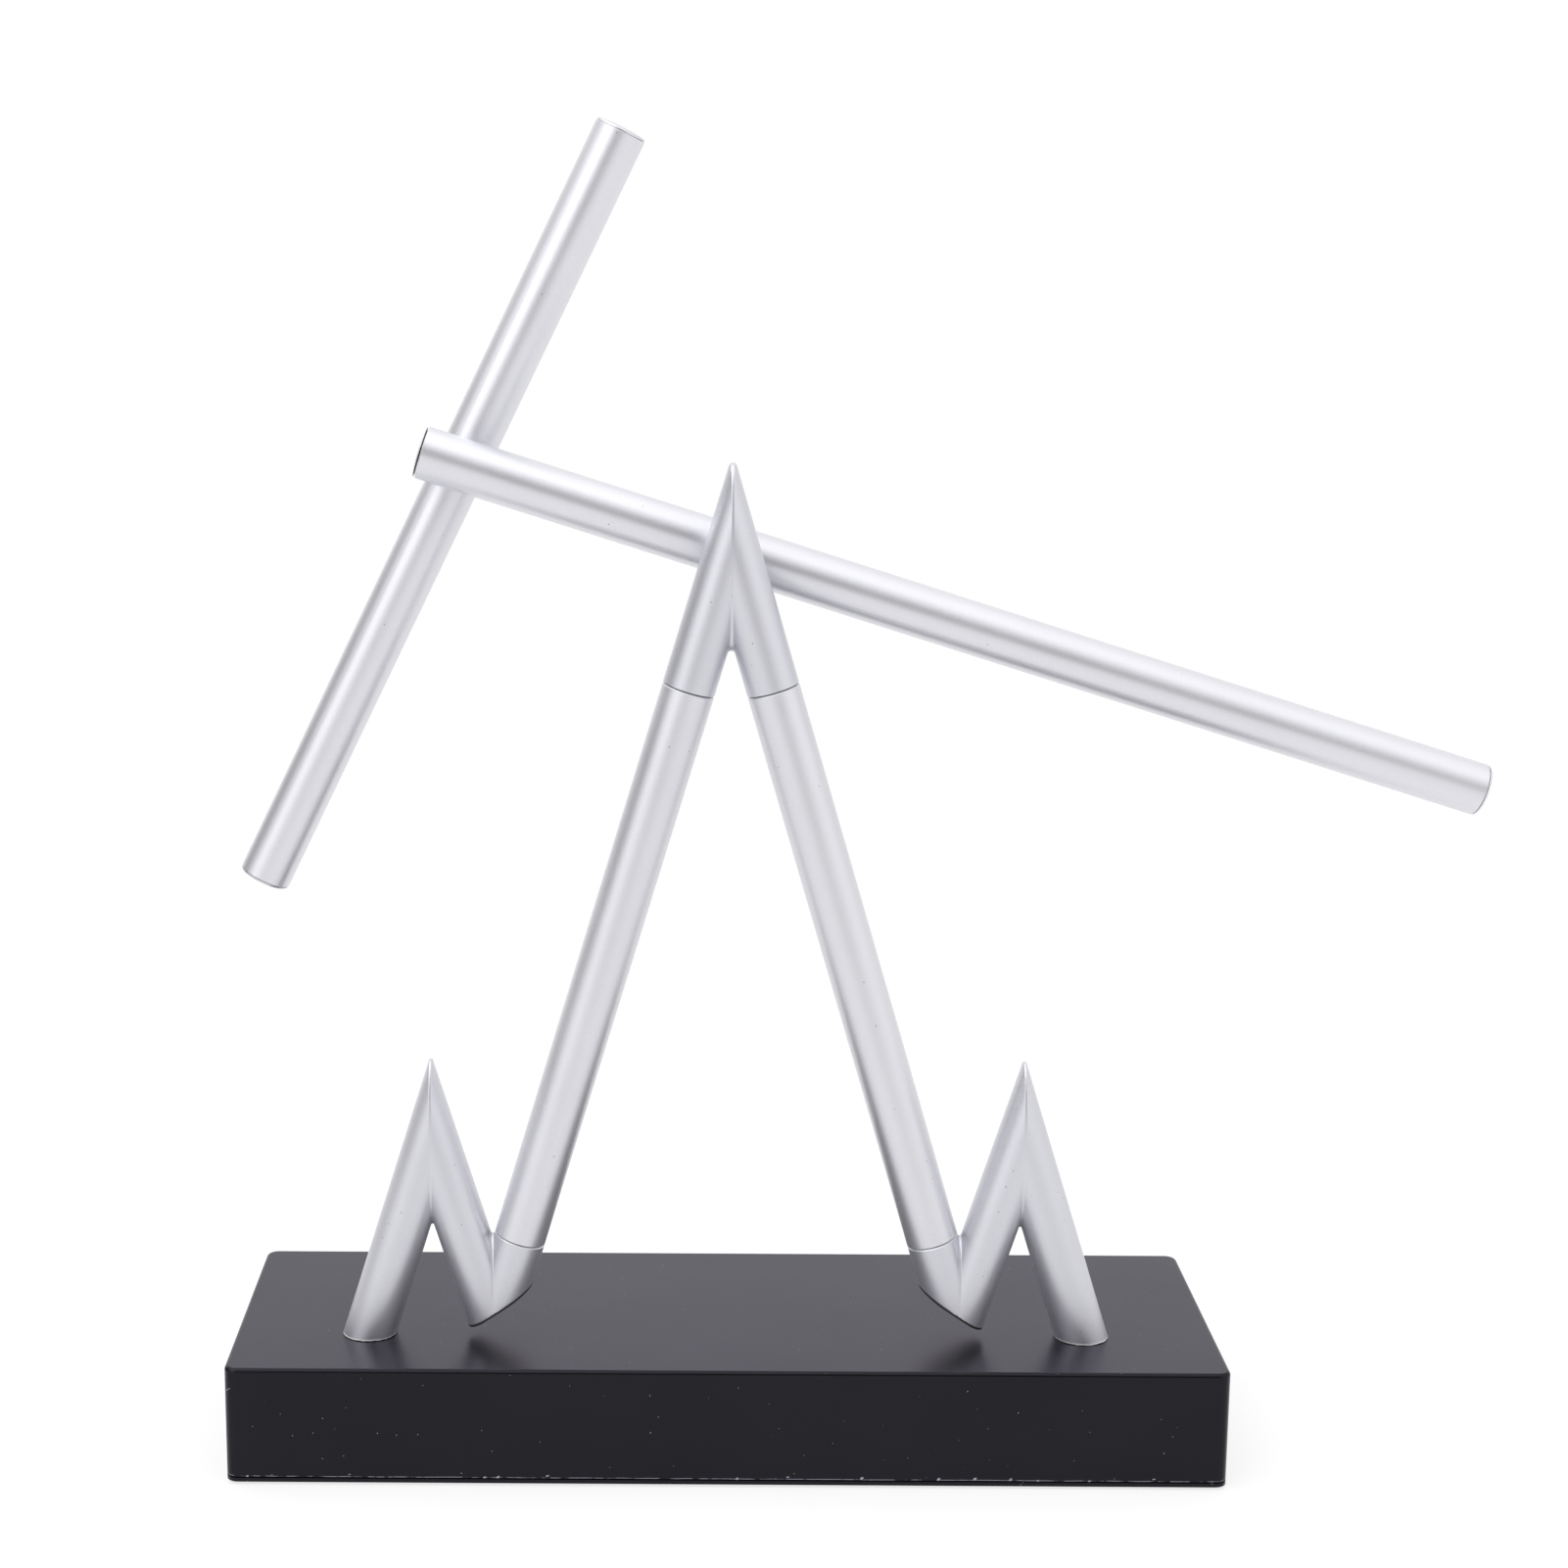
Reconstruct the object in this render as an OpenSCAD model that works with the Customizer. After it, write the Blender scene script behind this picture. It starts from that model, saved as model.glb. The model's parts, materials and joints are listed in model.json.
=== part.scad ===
// Kinetic desk toy: a tubular zigzag frame on a black base carries two free sticks.
// The long stick turns on the frame's head and the short stick turns on the long stick.
// A coil under the base's top pushes the magnet in the long stick's end as it swings by.
// Millimetres. X runs to the right, Y to the back and Z up from the floor.
// The origin is on the floor, at the centre of the base's outline.

/* [Base] */
// Width of the base, left to right
base_w = 240; // [225:1:300]
// Depth of the base, front to back
base_d = 80; // [76:1:120]
// Height of the base above its rubber pads
base_h = 28.7; // [27:0.1:45]
// Radius of the base's four upright corners
base_corner_r = 3; // [1.5:0.1:6]
// Radius of the edge round the base's top
base_edge_r = 1; // [0.4:0.1:1.4]
// Thickness of the base's side walls
shell_wall = 2.5; // [1.6:0.1:3.5]
// Thickness of the base's top wall
shell_top = 3; // [2:0.1:4]
// Chamfer along the shell's lower rim, over the bottom plate
shell_rim_chamfer = 0.3; // [0.1:0.05:0.6]
// Thickness of the bottom plate
plate_t = 1; // [0.8:0.1:2]

/* [Rubber pads] */
// Diameter of a rubber pad
pad_d = 13.8; // [8:0.2:18]
// Height of the pads under the bottom plate
pad_h = 0.8; // [0.5:0.1:2]
// Depth of the recess in the plate that holds a pad
pad_sink = 0.4; // [0.1:0.1:0.6]
// Gap between a pad's rim and the sides of the base
pad_inset = 1.6; // [1.2:0.1:6]
// Radial gap between a pad and its recess
pad_fit = 0.1; // [0.05:0.01:0.2]

/* [Tubes] */
// Outer diameter of every tube
tube_d = 12.6; // [11.6:0.1:13.2]
// Wall of the tubes
tube_wall = 1; // [0.8:0.05:1.1]
// Chamfer round each tube's ends
tube_chamfer = 0.2; // [0.1:0.05:0.4]
// Radial clearance of what sits inside a tube
plug_clearance = 0.05; // [0.02:0.01:0.15]

/* [Frame] */
// Height at which the two legs' axes cross, above the base's top
apex_h = 193.8; // [185:0.1:230]
// Half the distance between the two V bends
v_x = 56.7; // [50:0.1:62]
// Height of the V bends' axes above the base's top
v_h = 3.2; // [2:0.1:8]
// Lean of the spike's two sides from upright, in degrees
zigzag_angle = 17.5; // [15:0.1:20]
// Height of the spikes' axis crossing above the base's top
spike_h = 50.1; // [45:0.1:55]
// Slope of the cut under each V bend, in degrees
v_cut_angle = 33.5; // [28:0.5:38]
// Height of that cut at the bend, above the base's top
v_cut_h = 6.3; // [6:0.1:10]
// Length of the leg stub on a foot casting
stub_len = 22.6; // [20:0.1:30]
// Length of each arm of the head casting
head_len = 34.7; // [30:0.1:45]
// Length of the spigots inside the leg tubes
spigot_len = 10; // [6:0.5:20]
// Rounding of the head's tip
head_tip_r = 1.15; // [0.3:0.05:1.5]
// Rounding of the two spikes' tips
spike_tip_r = 0.55; // [0.2:0.05:1]
// Place of the frame's plane, front to back
frame_y = -16.4; // [-18:0.1:-15]

/* [Foot bolts] */
// Diameter of a foot bolt's shank
foot_bolt_d = 3.9; // [2.9:0.1:4.4]
// Depth of a foot bolt in its casting
foot_bolt_depth = 12; // [8:0.5:16]
// Diameter of a foot bolt's head
foot_bolt_head_d = 7; // [6:0.1:8]
// Height of a foot bolt's head
foot_bolt_head_h = 2.4; // [1.6:0.1:2.8]
// Diameter of the washer under it
foot_washer_d = 9; // [8.2:0.1:11]
// Thickness of that washer
foot_washer_t = 0.8; // [0.5:0.1:1.2]
// Radial clearance of every screw in its hole
screw_clearance = 0.05; // [0.03:0.01:0.1]

/* [Sticks] */
// Space from the frame's plane to the long stick's plane
long_spacing = 14.1; // [13.8:0.1:15]
// Space from the long stick's plane to the short stick's plane
short_spacing = 14.5; // [13.9:0.1:15.5]
// Main pivot's drop below the crossing of the legs' axes
pivot_drop = 2.5; // [1:0.1:3]
// Long stick, main pivot to the magnet end of the tube
long_outer_arm = 189.2; // [150:0.1:189.5]
// Long stick, main pivot to the other end of the tube
long_inner_arm = 76.5; // [75.5:0.1:90]
// Distance between the two pivots
pivot_pitch = 67.2; // [62:0.1:68]
// Long stick's slope down to the right, in degrees
long_tilt = 17.5; // [0:0.5:60]
// Short stick, its pivot to the tube's lower end
short_lower_arm = 114.7; // [90:0.1:118]
// Short stick, its pivot to the tube's upper end
short_upper_arm = 85.8; // [60:0.1:110]
// Short stick's lean from upright, in degrees
short_tilt = 26; // [0:0.5:60]

/* [Stick ends] */
// Gap line between a tube and its end cap
cap_reveal = 0.25; // [0.1:0.05:0.4]
// How far a cap's rim lies inside the tube's outside
cap_inset = 0.25; // [0.1:0.05:0.5]
// Height of a cap's straight rim
cap_rim = 0.3; // [0.2:0.05:0.5]
// Rise of a cap's dome above its rim
cap_dome = 0.45; // [0.2:0.05:0.6]
// Length of a cap's plug inside the tube
cap_plug_len = 4; // [2.5:0.1:4.2]

/* [Pivots] */
// Length of a pivot's hub block along its tube
hub_len = 16; // [12:0.5:24]
// Diameter of the axle screws' shanks
axle_d = 2.96; // [2.6:0.02:2.98]
// Diameter of the axle screws' threads
axle_thread_d = 2.4; // [2:0.1:2.5]
// Length of the axle screws' threads
axle_thread_len = 7; // [4:0.1:7.5]
// Diameter of the axle screws' heads
axle_head_d = 5.4; // [4.6:0.1:5.8]
// Height of the axle screws' heads
axle_head_h = 1.3; // [1:0.1:1.5]
// Width of the hex socket in an axle screw's head
axle_socket_w = 2; // [1.5:0.1:2.5]
// Diameter of the windows in a tube, round its pivot
window_d = 6.6; // [6.4:0.1:7]
// Distance from a stick's axis to the outer face of its bearings
bearing_reach = 5; // [4.8:0.05:5.1]
// Height of the axle seats' flats above their tube's axis
seat_reach = 4.6; // [4.4:0.1:4.8]
// Height of the seat's flat on the head casting, above the frame's plane
head_seat_reach = 5.9; // [5.5:0.1:6.1]
// Outer diameter of the spacers on the axles
spacer_d = 4.2; // [3.8:0.1:4.6]

/* [Ball bearings] */
// Bore of a bearing
bearing_bore = 3; // [3:0.01:3.1]
// Outer diameter of a bearing
bearing_d = 6; // [6:0.01:6.2]
// Width of a bearing
bearing_w = 2.5; // [2.3:0.1:2.6]
// Diameter of the circle of balls
ball_circle_d = 4.6; // [4.58:0.01:4.62]
// Diameter of a ball
ball_d = 1; // [0.9:0.02:1]
// Balls in a bearing
ball_count = 7; // [5:1:7]
// Clearance between a ball and its grooves
ball_clearance = 0.06; // [0.04:0.01:0.08]
// Outside of the inner ring's shoulders
inner_shoulder_d = 4; // [3.9:0.02:4.1]
// Inside of the outer ring's shoulders
outer_shoulder_d = 5.2; // [5.1:0.02:5.3]

/* [Weights and magnet] */
// Length of the drive magnet
magnet_len = 12; // [6:0.5:20]
// Length of the block that holds the magnet
magnet_block_len = 8; // [4:0.5:14]
// Length of the long stick's brass weight
long_weight_len = 14; // [6:0.5:20]
// Place of that weight's middle, from the main pivot
long_weight_x = 42; // [36:0.5:46]
// Length of the short stick's brass weight
short_weight_len = 4; // [2:0.5:12]
// Half length of the block that carries the second axle
axle_block_half = 4.5; // [4:0.1:4.8]

/* [Coil] */
// Diameter of the bobbin's flanges
bobbin_d = 30; // [24:0.5:34]
// Height of the bobbin
bobbin_h = 16.5; // [12:0.5:17]
// Thickness of its flanges
bobbin_flange_t = 1.2; // [0.8:0.1:1.6]
// Diameter of the iron core
core_d = 7; // [5:0.1:9]
// Wall of the bobbin's tube
bobbin_tube_wall = 1.2; // [0.8:0.1:2]
// Diameter of the copper winding
winding_d = 27; // [20:0.5:29]
// Distance between the coil's two screws
coil_screw_pitch = 40; // [39:0.5:44]

/* [Batteries] */
// Diameter of a battery cell
cell_d = 14.2; // [13.8:0.1:14.4]
// Length of a cell's can
cell_len = 49.2; // [48.5:0.1:49.4]
// Diameter of a cell's button
cell_button_d = 5.4; // [4.6:0.1:5.6]
// Height of a cell's button
cell_button_h = 1.3; // [1:0.1:1.4]
// Number of cells
cell_count = 4; // [2:2:4]
// Middle of the row of cells, from the base's centre
tray_x = 72.5; // [71:0.1:75]
// Thickness of the tray's walls
tray_wall = 1.5; // [1.2:0.1:1.8]
// Space between neighbouring cells
cell_gap = 1.1; // [0.6:0.1:1.2]
// Free space round the cells
cell_clearance = 0.3; // [0.2:0.05:0.5]
// Space for the spring contact behind a cell
contact_space = 3.6; // [3:0.1:4.2]
// Thickness of the contact strips
contact_t = 0.4; // [0.3:0.05:0.5]
// Gap round the battery door
door_gap = 0.35; // [0.3:0.05:0.6]
// Length of the door's holding ribs
door_rib_len = 12; // [6:0.5:20]
// Height of the door's holding ribs
door_rib_h = 3; // [2:0.1:3.4]
// Width of the circle that cuts the door's finger notch
door_notch_w = 16; // [12:0.5:24]
// Depth of the door's finger notch
door_notch_depth = 2.5; // [1.5:0.1:4]

/* [Circuit board] */
// Length of the board
board_w = 44; // [40:1:48]
// Depth of the board
board_d = 40; // [36:1:48]
// Thickness of the board
board_t = 1.6; // [1:0.1:2]
// Middle of the board, from the base's centre
board_x = -72; // [-76:1:-70]
// Height of the posts that hold it
post_h = 4.2; // [3.6:0.1:6]
// Diameter of those posts
post_d = 5.2; // [4.4:0.1:6]
// Diameter of the lead wires
wire_d = 1; // [0.8:0.1:1.2]

/* [Hidden] */
$fn = 64;

// Size of the blocks that cut a half space
far = 400;
// How far a cut runs past a face
past = 1;

// Heights from the floor
plate_top = pad_h + plate_t;
base_top = pad_h + base_h;
ceiling_z = base_top - shell_top;
apex_z = base_top + apex_h;
v_z = base_top + v_h;
spike_z = base_top + spike_h;
pivot_z = apex_z - pivot_drop;

// The frame's zigzag
tube_r = tube_d / 2;
tube_bore_r = tube_r - tube_wall;
plug_r = tube_bore_r - plug_clearance;
leg_angle = atan(v_x / (apex_h - v_h));
leg_len = (apex_h - v_h) / cos(leg_angle);
spike_x = v_x + (spike_h - v_h) * tan(zigzag_angle);
foot_x = spike_x + spike_h * tan(zigzag_angle);
v_mitre_lean = (zigzag_angle - leg_angle) / 2;
v_half_angle = (zigzag_angle + leg_angle) / 2;
foot_bolt_x = foot_x - foot_bolt_depth / 2 * tan(zigzag_angle);

// The sticks' planes and the second pivot
long_y = frame_y + long_spacing;
short_y = long_y + short_spacing;
pivot2_x = -pivot_pitch * cos(long_tilt);
pivot2_z = pivot_z + pivot_pitch * sin(long_tilt);

// Seats of the two axles, each from the plane of the stick that turns on it
main_seat_y = head_seat_reach - long_spacing;
second_seat_y = seat_reach - short_spacing;
seat_d = spacer_d + 1;
thread_gap = 0.5;
shoulder_step = 0.2;
cage_gap = 0.12;

// The row of cells and the tray over it
cell_pitch = cell_d + cell_gap;
tray_in_w = cell_count * cell_pitch;
tray_in_d = cell_len + cell_button_h + contact_space + 2 * contact_t;
cell_z = plate_top + cell_clearance + cell_d / 2;
tray_roof_z = cell_z + cell_d / 2 + cell_clearance;

// Bosses that hang from the shell's top, and the screws that hold the bottom plate
boss_d = 6.4;
boss_hole_d = 2.1;
boss_end_gap = 2;
boss_side_gap = 1;
boss_coil_gap = 11.8;
plate_screw_d = 2;
plate_screw_head_d = 3.8;
plate_screw_head_h = 1.2;
plate_screw_len = 8;
head_sink = 0.1;
end_boss_x = base_w / 2 - shell_wall - boss_d / 2 - boss_end_gap;
side_boss_y = base_d / 2 - shell_wall - boss_d / 2 - boss_side_gap;
side_boss_x = bobbin_d / 2 + boss_coil_gap + boss_d / 2;
plate_screw_spots = [
  [end_boss_x, 0], [-end_boss_x, 0],
  [side_boss_x, side_boss_y], [-side_boss_x, side_boss_y],
  [side_boss_x, -side_boss_y], [-side_boss_x, -side_boss_y]
];
plate_boss_h = 1.6;

// Contact strips: their faces, and the tabs that the leads are soldered to
contact_w = 9;
contact_h = 9;
contact_link_h = 3;
contact_tab_w = 3;
contact_tab_out = 2.4;
contact_tab_gap = 0.2;
leaf_tip_h = 0.8;
leaf_drop = 1.2;

// The coil, flat against the shell's ceiling
coil_low_z = ceiling_z - bobbin_h;
ear_top_z = coil_low_z + bobbin_flange_t;
ear_w = 7;
coil_screw_d = 1.9;
coil_screw_head_d = 4.2;
coil_screw_head_h = 1.4;
coil_screw_len = 9;
core_head_d = core_d + 3;
core_head_h = 1.5;

// The circuit board and its parts
board_z = plate_top + post_h;
board_top = board_z + board_t;
board_corner_r = 1.5;
post_inset = 4;
post_spot = [board_w / 2 - post_inset, board_d / 2 - post_inset];
board_screw_d = 1.8;
board_screw_head_d = 3.6;
board_screw_head_h = 1.2;
board_screw_depth = 3.2;
board_hole_gap = 0.2;
screw_tip_gap = 0.3;
lead_edge_x = board_x + board_w / 2 - 3;
lead_low_z = board_top + 4.4;
lead_boss_gap = 8;
lead_lane_y = side_boss_y - 10;
lead_end_y = 12;
lead_over_tray = 2.2;
lead_rise = 1.5;
lead_pitch = 3;
transistor_spot = [2, 8];
transistor_d = 4.8;
transistor_h = 4.6;
transistor_flat = 1.4;
transistor_leg_d = 0.5;
transistor_leg_h = 3;
transistor_leg_pitch = 1.3;
capacitor_spot = [-8, -8];
capacitor_d = 8;
capacitor_h = 11;
resistor_spot = [6, -12];
resistor_pitch = 5;
resistor_d = 2.2;
resistor_len = 6;
resistor_span = 8.8;
resistor_wire_d = 0.6;
resistor_h = 1.4;

// Centres of the pads: one near each corner and one under the middle
pad_x = base_w / 2 - pad_inset - pad_d / 2;
pad_y = base_d / 2 - pad_inset - pad_d / 2;
pad_spots = [[pad_x, pad_y], [-pad_x, pad_y], [-pad_x, -pad_y], [pad_x, -pad_y], [0, 0]];

// Colours
silver = [0.8, 0.8, 0.83];
cast_silver = [0.72, 0.72, 0.75];
black = [0.12, 0.12, 0.13];
steel = [0.6, 0.6, 0.62];
copper = [0.72, 0.4, 0.2];
brass = [0.78, 0.62, 0.3];

// General forms

// A rectangle with round corners
module rounded_rect(w, d, r) {
  square([w - 2 * r, d], center = true);
  square([w, d - 2 * r], center = true);
  for (sx = [-1, 1], sy = [-1, 1])
    translate([sx * (w / 2 - r), sy * (d / 2 - r)]) circle(r);
}

// The upright outline that the base's rim is swept from
module rim_outline(reach, height, edge_r, chamfer) {
  polygon([
    [0, 0], [reach - chamfer, 0], [reach, chamfer],
    [reach, height - edge_r], [reach - edge_r, height], [0, height]
  ]);
  translate([reach - edge_r, height - edge_r]) circle(edge_r);
}

// A block with round upright corners, a round top edge and a chamfered lower rim
module case_block(w, d, h, corner_r, edge_r, chamfer) {
  translate([0, 0, h / 2]) cube([w - 2 * corner_r, d - 2 * corner_r, h], center = true);
  for (sx = [-1, 1], sy = [-1, 1])
    translate([sx * (w / 2 - corner_r), sy * (d / 2 - corner_r), 0])
      rotate_extrude() rim_outline(corner_r, h, edge_r, chamfer);
  for (side = [0, 1]) {
    mirror([0, side, 0]) translate([0, d / 2 - corner_r, 0]) rotate([90, 0, 90])
      linear_extrude(w - 2 * corner_r, center = true) rim_outline(corner_r, h, edge_r, chamfer);
    mirror([side, 0, 0]) translate([w / 2 - corner_r, 0, 0]) rotate([90, 0, 0])
      linear_extrude(d - 2 * corner_r, center = true) rim_outline(corner_r, h, edge_r, chamfer);
  }
}

// A ring along Z
module ring(outer_d, inner_d, length) {
  difference() {
    cylinder(d = outer_d, h = length);
    translate([0, 0, -past]) cylinder(d = inner_d, h = length + 2 * past);
  }
}

// A cylinder along Y from y0 to y1, about the X and Z of its own frame
module y_bar(d, y0, y1) {
  translate([0, y0, 0]) rotate([-90, 0, 0]) cylinder(d = d, h = y1 - y0);
}

// A ring along Y
module y_ring(outer_d, inner_d, y0, y1) {
  translate([0, y0, 0]) rotate([-90, 0, 0]) ring(outer_d, inner_d, y1 - y0);
}

// The half space on the +X side (side 1) or the -X side (side -1) of the YZ plane
module half_space(side) {
  translate([side > 0 ? 0 : -far, -far / 2, -far / 2]) cube(far);
}

// A solid bar from z0 to z1
module plain_bar(z0, z1) {
  translate([0, 0, z0]) cylinder(r = tube_r, h = z1 - z0);
}

// A solid bar from z0 to z1 with a chamfer round its upper end
module shouldered_bar(z0, z1) {
  rotate_extrude() polygon([
    [0, z0], [tube_r, z0], [tube_r, z1 - tube_chamfer], [tube_r - tube_chamfer, z1], [0, z1]
  ]);
}

// A hollow tube from z0 to z1 with chamfered ends
module tube(z0, z1) {
  rotate_extrude() polygon([
    [tube_bore_r, z0], [tube_r - tube_chamfer, z0], [tube_r, z0 + tube_chamfer],
    [tube_r, z1 - tube_chamfer], [tube_r - tube_chamfer, z1], [tube_bore_r, z1]
  ]);
}

// A path with its corners cut a number of times; its two ends stay
function cut_corners(path, times) = times == 0 ? path : cut_corners(concat(
  [path[0]],
  [for (i = [0 : len(path) - 2]) for (share = i == 0 ? [0.75] : i == len(path) - 2 ? [0.25] : [0.25, 0.75])
    path[i] + share * (path[i + 1] - path[i])],
  [path[len(path) - 1]]
), times - 1);

function unit(v) = v / norm(v);

// A round wire along a path that never runs straight along Y
module wire(points) {
  sides = 8;
  path = cut_corners(points, 2);
  last = len(path) - 1;
  rings = [for (i = [0 : last])
    let (run = unit(path[min(i + 1, last)] - path[max(i - 1, 0)]),
      out = unit(cross(run, [0, 1, 0])),
      up = cross(out, run))
    for (k = [0 : sides - 1])
      path[i] + wire_d / 2 * (cos(360 * k / sides) * out + sin(360 * k / sides) * up)];
  polyhedron(
    rings,
    concat(
      [[for (k = [0 : sides - 1]) k]],
      [for (i = [0 : last - 1]) for (k = [0 : sides - 1])
        let (a = i * sides + k, b = i * sides + (k + 1) % sides)
        [a, a + sides, b + sides, b]],
      [[for (k = [0 : sides - 1]) last * sides + sides - 1 - k]]
    )
  );
}

// Rounds off the sharp edge over a mitre whose tip would stand at tip_z
module trim_tip(x, tip_z, half_angle, tip_r) {
  crown_r = 1.15 * tip_r;
  crown_z = tip_z - tip_r / sin(half_angle) + tip_r - crown_r;
  difference() {
    children();
    difference() {
      translate([x - tube_r, frame_y - tube_r - past, crown_z])
        cube([tube_d, tube_d + 2 * past, far / 4]);
      translate([x, frame_y, crown_z]) y_bar(2 * crown_r, -far / 4, far / 4);
    }
  }
}

// Frames of reference

// The right leg (side 1) or left leg (side -1): +Z runs up its axis from the V bend
module on_leg(side) {
  translate([side * v_x, frame_y, v_z]) rotate([0, -side * leg_angle, 0]) children();
}

// The head: +Z runs down the right or left leg's axis from the crossing
module on_head(side) {
  translate([0, frame_y, apex_z]) rotate([0, 180 - side * leg_angle, 0]) children();
}

// The long stick: +X runs along it to the magnet, from the main pivot
module at_long() {
  translate([0, long_y, pivot_z]) rotate([0, long_tilt, 0]) children();
}

// The short stick: +Z runs up it from the second pivot
module at_short() {
  translate([pivot2_x, short_y, pivot2_z]) rotate([0, short_tilt, 0]) children();
}

// The second pivot's place in the long stick
module at_second_seat() {
  at_long() translate([-pivot_pitch, 0, 0]) children();
}

// Turns a piece drawn along Z to lie along the long stick
module along_long() {
  at_long() rotate([0, 90, 0]) children();
}

// Base

module base_shell() color(black) {
  difference() {
    union() {
      difference() {
        translate([0, 0, plate_top])
          case_block(base_w, base_d, base_top - plate_top, base_corner_r, base_edge_r, shell_rim_chamfer);
        translate([-base_w / 2 + shell_wall, -base_d / 2 + shell_wall, plate_top - past])
          cube([base_w - 2 * shell_wall, base_d - 2 * shell_wall, ceiling_z - plate_top + past]);
      }
      for (spot = plate_screw_spots)
        translate([spot[0], spot[1], plate_top + plate_boss_h])
          cylinder(d = boss_d, h = ceiling_z - plate_top - plate_boss_h + shell_top / 2);
      for (side = [-1, 1])
        translate([side * coil_screw_pitch / 2, long_y, ear_top_z])
          cylinder(d = boss_d, h = ceiling_z - ear_top_z + shell_top / 2);
    }
    for (spot = plate_screw_spots)
      translate([spot[0], spot[1], plate_top])
        cylinder(d = boss_hole_d, h = plate_screw_len + plate_boss_h);
    for (side = [-1, 1]) {
      translate([side * coil_screw_pitch / 2, long_y, coil_low_z])
        cylinder(d = coil_screw_d + 2 * screw_clearance, h = coil_screw_len + past);
      translate([side * foot_bolt_x, frame_y, ceiling_z - past])
        cylinder(d = foot_bolt_d + 2 * screw_clearance, h = shell_top + 2 * past);
    }
  }
}

module bottom_plate() color(black) {
  opening_w = tray_in_w + 2 * cell_clearance;
  opening_d = tray_in_d;
  difference() {
    union() {
      translate([0, 0, pad_h]) linear_extrude(plate_t) rounded_rect(base_w, base_d, base_corner_r);
      translate([tray_x, 0, plate_top]) linear_extrude(tray_roof_z + tray_wall - plate_top)
        square([opening_w + 2 * tray_wall, opening_d + 2 * tray_wall], center = true);
      for (sx = [-1, 1], sy = [-1, 1])
        translate([board_x + sx * post_spot[0], sy * post_spot[1], plate_top - plate_t / 2])
          cylinder(d = post_d, h = post_h + plate_t / 2);
      for (spot = plate_screw_spots)
        translate([spot[0], spot[1], plate_top - plate_t / 2])
          cylinder(d = boss_d, h = plate_boss_h + plate_t / 2);
    }
    translate([tray_x, 0, pad_h - past]) linear_extrude(tray_roof_z - pad_h + past)
      square([opening_w, opening_d], center = true);
    for (spot = pad_spots)
      translate([spot[0], spot[1], pad_h - past]) cylinder(d = pad_d + 2 * pad_fit, h = pad_sink + past);
    for (sx = [-1, 1], sy = [-1, 1])
      translate([board_x + sx * post_spot[0], sy * post_spot[1], board_z - board_screw_depth - screw_tip_gap])
        cylinder(d = board_screw_d + 2 * screw_clearance, h = board_screw_depth + past);
    for (spot = plate_screw_spots) translate([spot[0], spot[1], pad_h]) {
      translate([0, 0, -past])
        cylinder(d = plate_screw_d + 2 * screw_clearance, h = plate_t + plate_boss_h + 2 * past);
      translate([0, 0, -past])
        cylinder(d = plate_screw_head_d + 4 * screw_clearance, h = plate_screw_head_h + head_sink + past);
    }
    for (x = lead_x) translate([x, tray_in_d / 2 + tray_wall / 2, cell_z])
      cube([contact_tab_w + 2 * contact_tab_gap, tray_wall + 2 * past, contact_t + 2 * contact_tab_gap],
        center = true);
  }
}

module rubber_pads() color([0.1, 0.1, 0.1]) {
  for (spot = pad_spots) translate([spot[0], spot[1], 0]) cylinder(d = pad_d, h = pad_h + pad_sink);
}

// A screw from below, its head's underside at z = 0 and its tip upwards
module screw_up(shank_d, shank_len, head_d, head_h) {
  slot_len = 0.6 * head_d;
  slot_w = 0.16 * head_d;
  cylinder(d = shank_d, h = shank_len, $fn = 32);
  difference() {
    translate([0, 0, -head_h]) cylinder(d = head_d, h = head_h, $fn = 32);
    for (turn = [0, 90]) rotate([0, 0, turn])
      translate([0, 0, -head_h]) cube([slot_len, slot_w, head_h], center = true);
  }
}

module plate_screws() color(steel) {
  for (spot = plate_screw_spots) translate([spot[0], spot[1], pad_h + plate_screw_head_h + head_sink])
    screw_up(plate_screw_d, plate_screw_len, plate_screw_head_d, plate_screw_head_h);
}

// Battery compartment

module battery_door() color(black) {
  panel_w = tray_in_w + 2 * cell_clearance - 2 * door_gap;
  panel_d = tray_in_d - 2 * door_gap;
  rib_t = 1.2;
  translate([tray_x, 0, pad_h]) {
    linear_extrude(plate_t) difference() {
      square([panel_w, panel_d], center = true);
      translate([0, -panel_d / 2 - door_notch_w / 2 + door_notch_depth]) circle(d = door_notch_w);
    }
    for (sx = [-1, 1], sy = [-1, 1])
      translate([sx * (panel_w - rib_t) / 2, sy * panel_d / 4, plate_t / 2])
        linear_extrude(plate_t / 2 + door_rib_h) square([rib_t, door_rib_len], center = true);
  }
}

// The x of a cell's axis; the cells lie alternately, button forwards and button backwards
function cell_x(i) = tray_x + (i - (cell_count - 1) / 2) * cell_pitch;
function cell_turn(i) = i % 2 == 0 ? 1 : -1;
lead_x = [cell_x(0), cell_x(cell_count - 1)];

module battery_cells() color([0.75, 0.6, 0.25]) {
  for (i = [0 : cell_count - 1]) {
    turn = cell_turn(i);
    button_y = turn * (tray_in_d / 2 - contact_t);
    translate([cell_x(i), button_y, cell_z]) rotate([turn * 90, 0, 0]) {
      cylinder(d = cell_button_d, h = cell_button_h + past);
      translate([0, 0, cell_button_h]) cylinder(d = cell_d, h = cell_len);
    }
  }
}

module contact_plate() {
  translate([-contact_w / 2, 0, -contact_h / 2]) cube([contact_w, contact_t, contact_h]);
}

// A tab from an end contact through the tray's back wall
module contact_tab(x) {
  tab_len = contact_t + tray_wall + contact_tab_out;
  translate([x, tray_in_d / 2 - contact_t + tab_len / 2, cell_z])
    cube([contact_tab_w, tab_len, contact_t], center = true);
}

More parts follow.
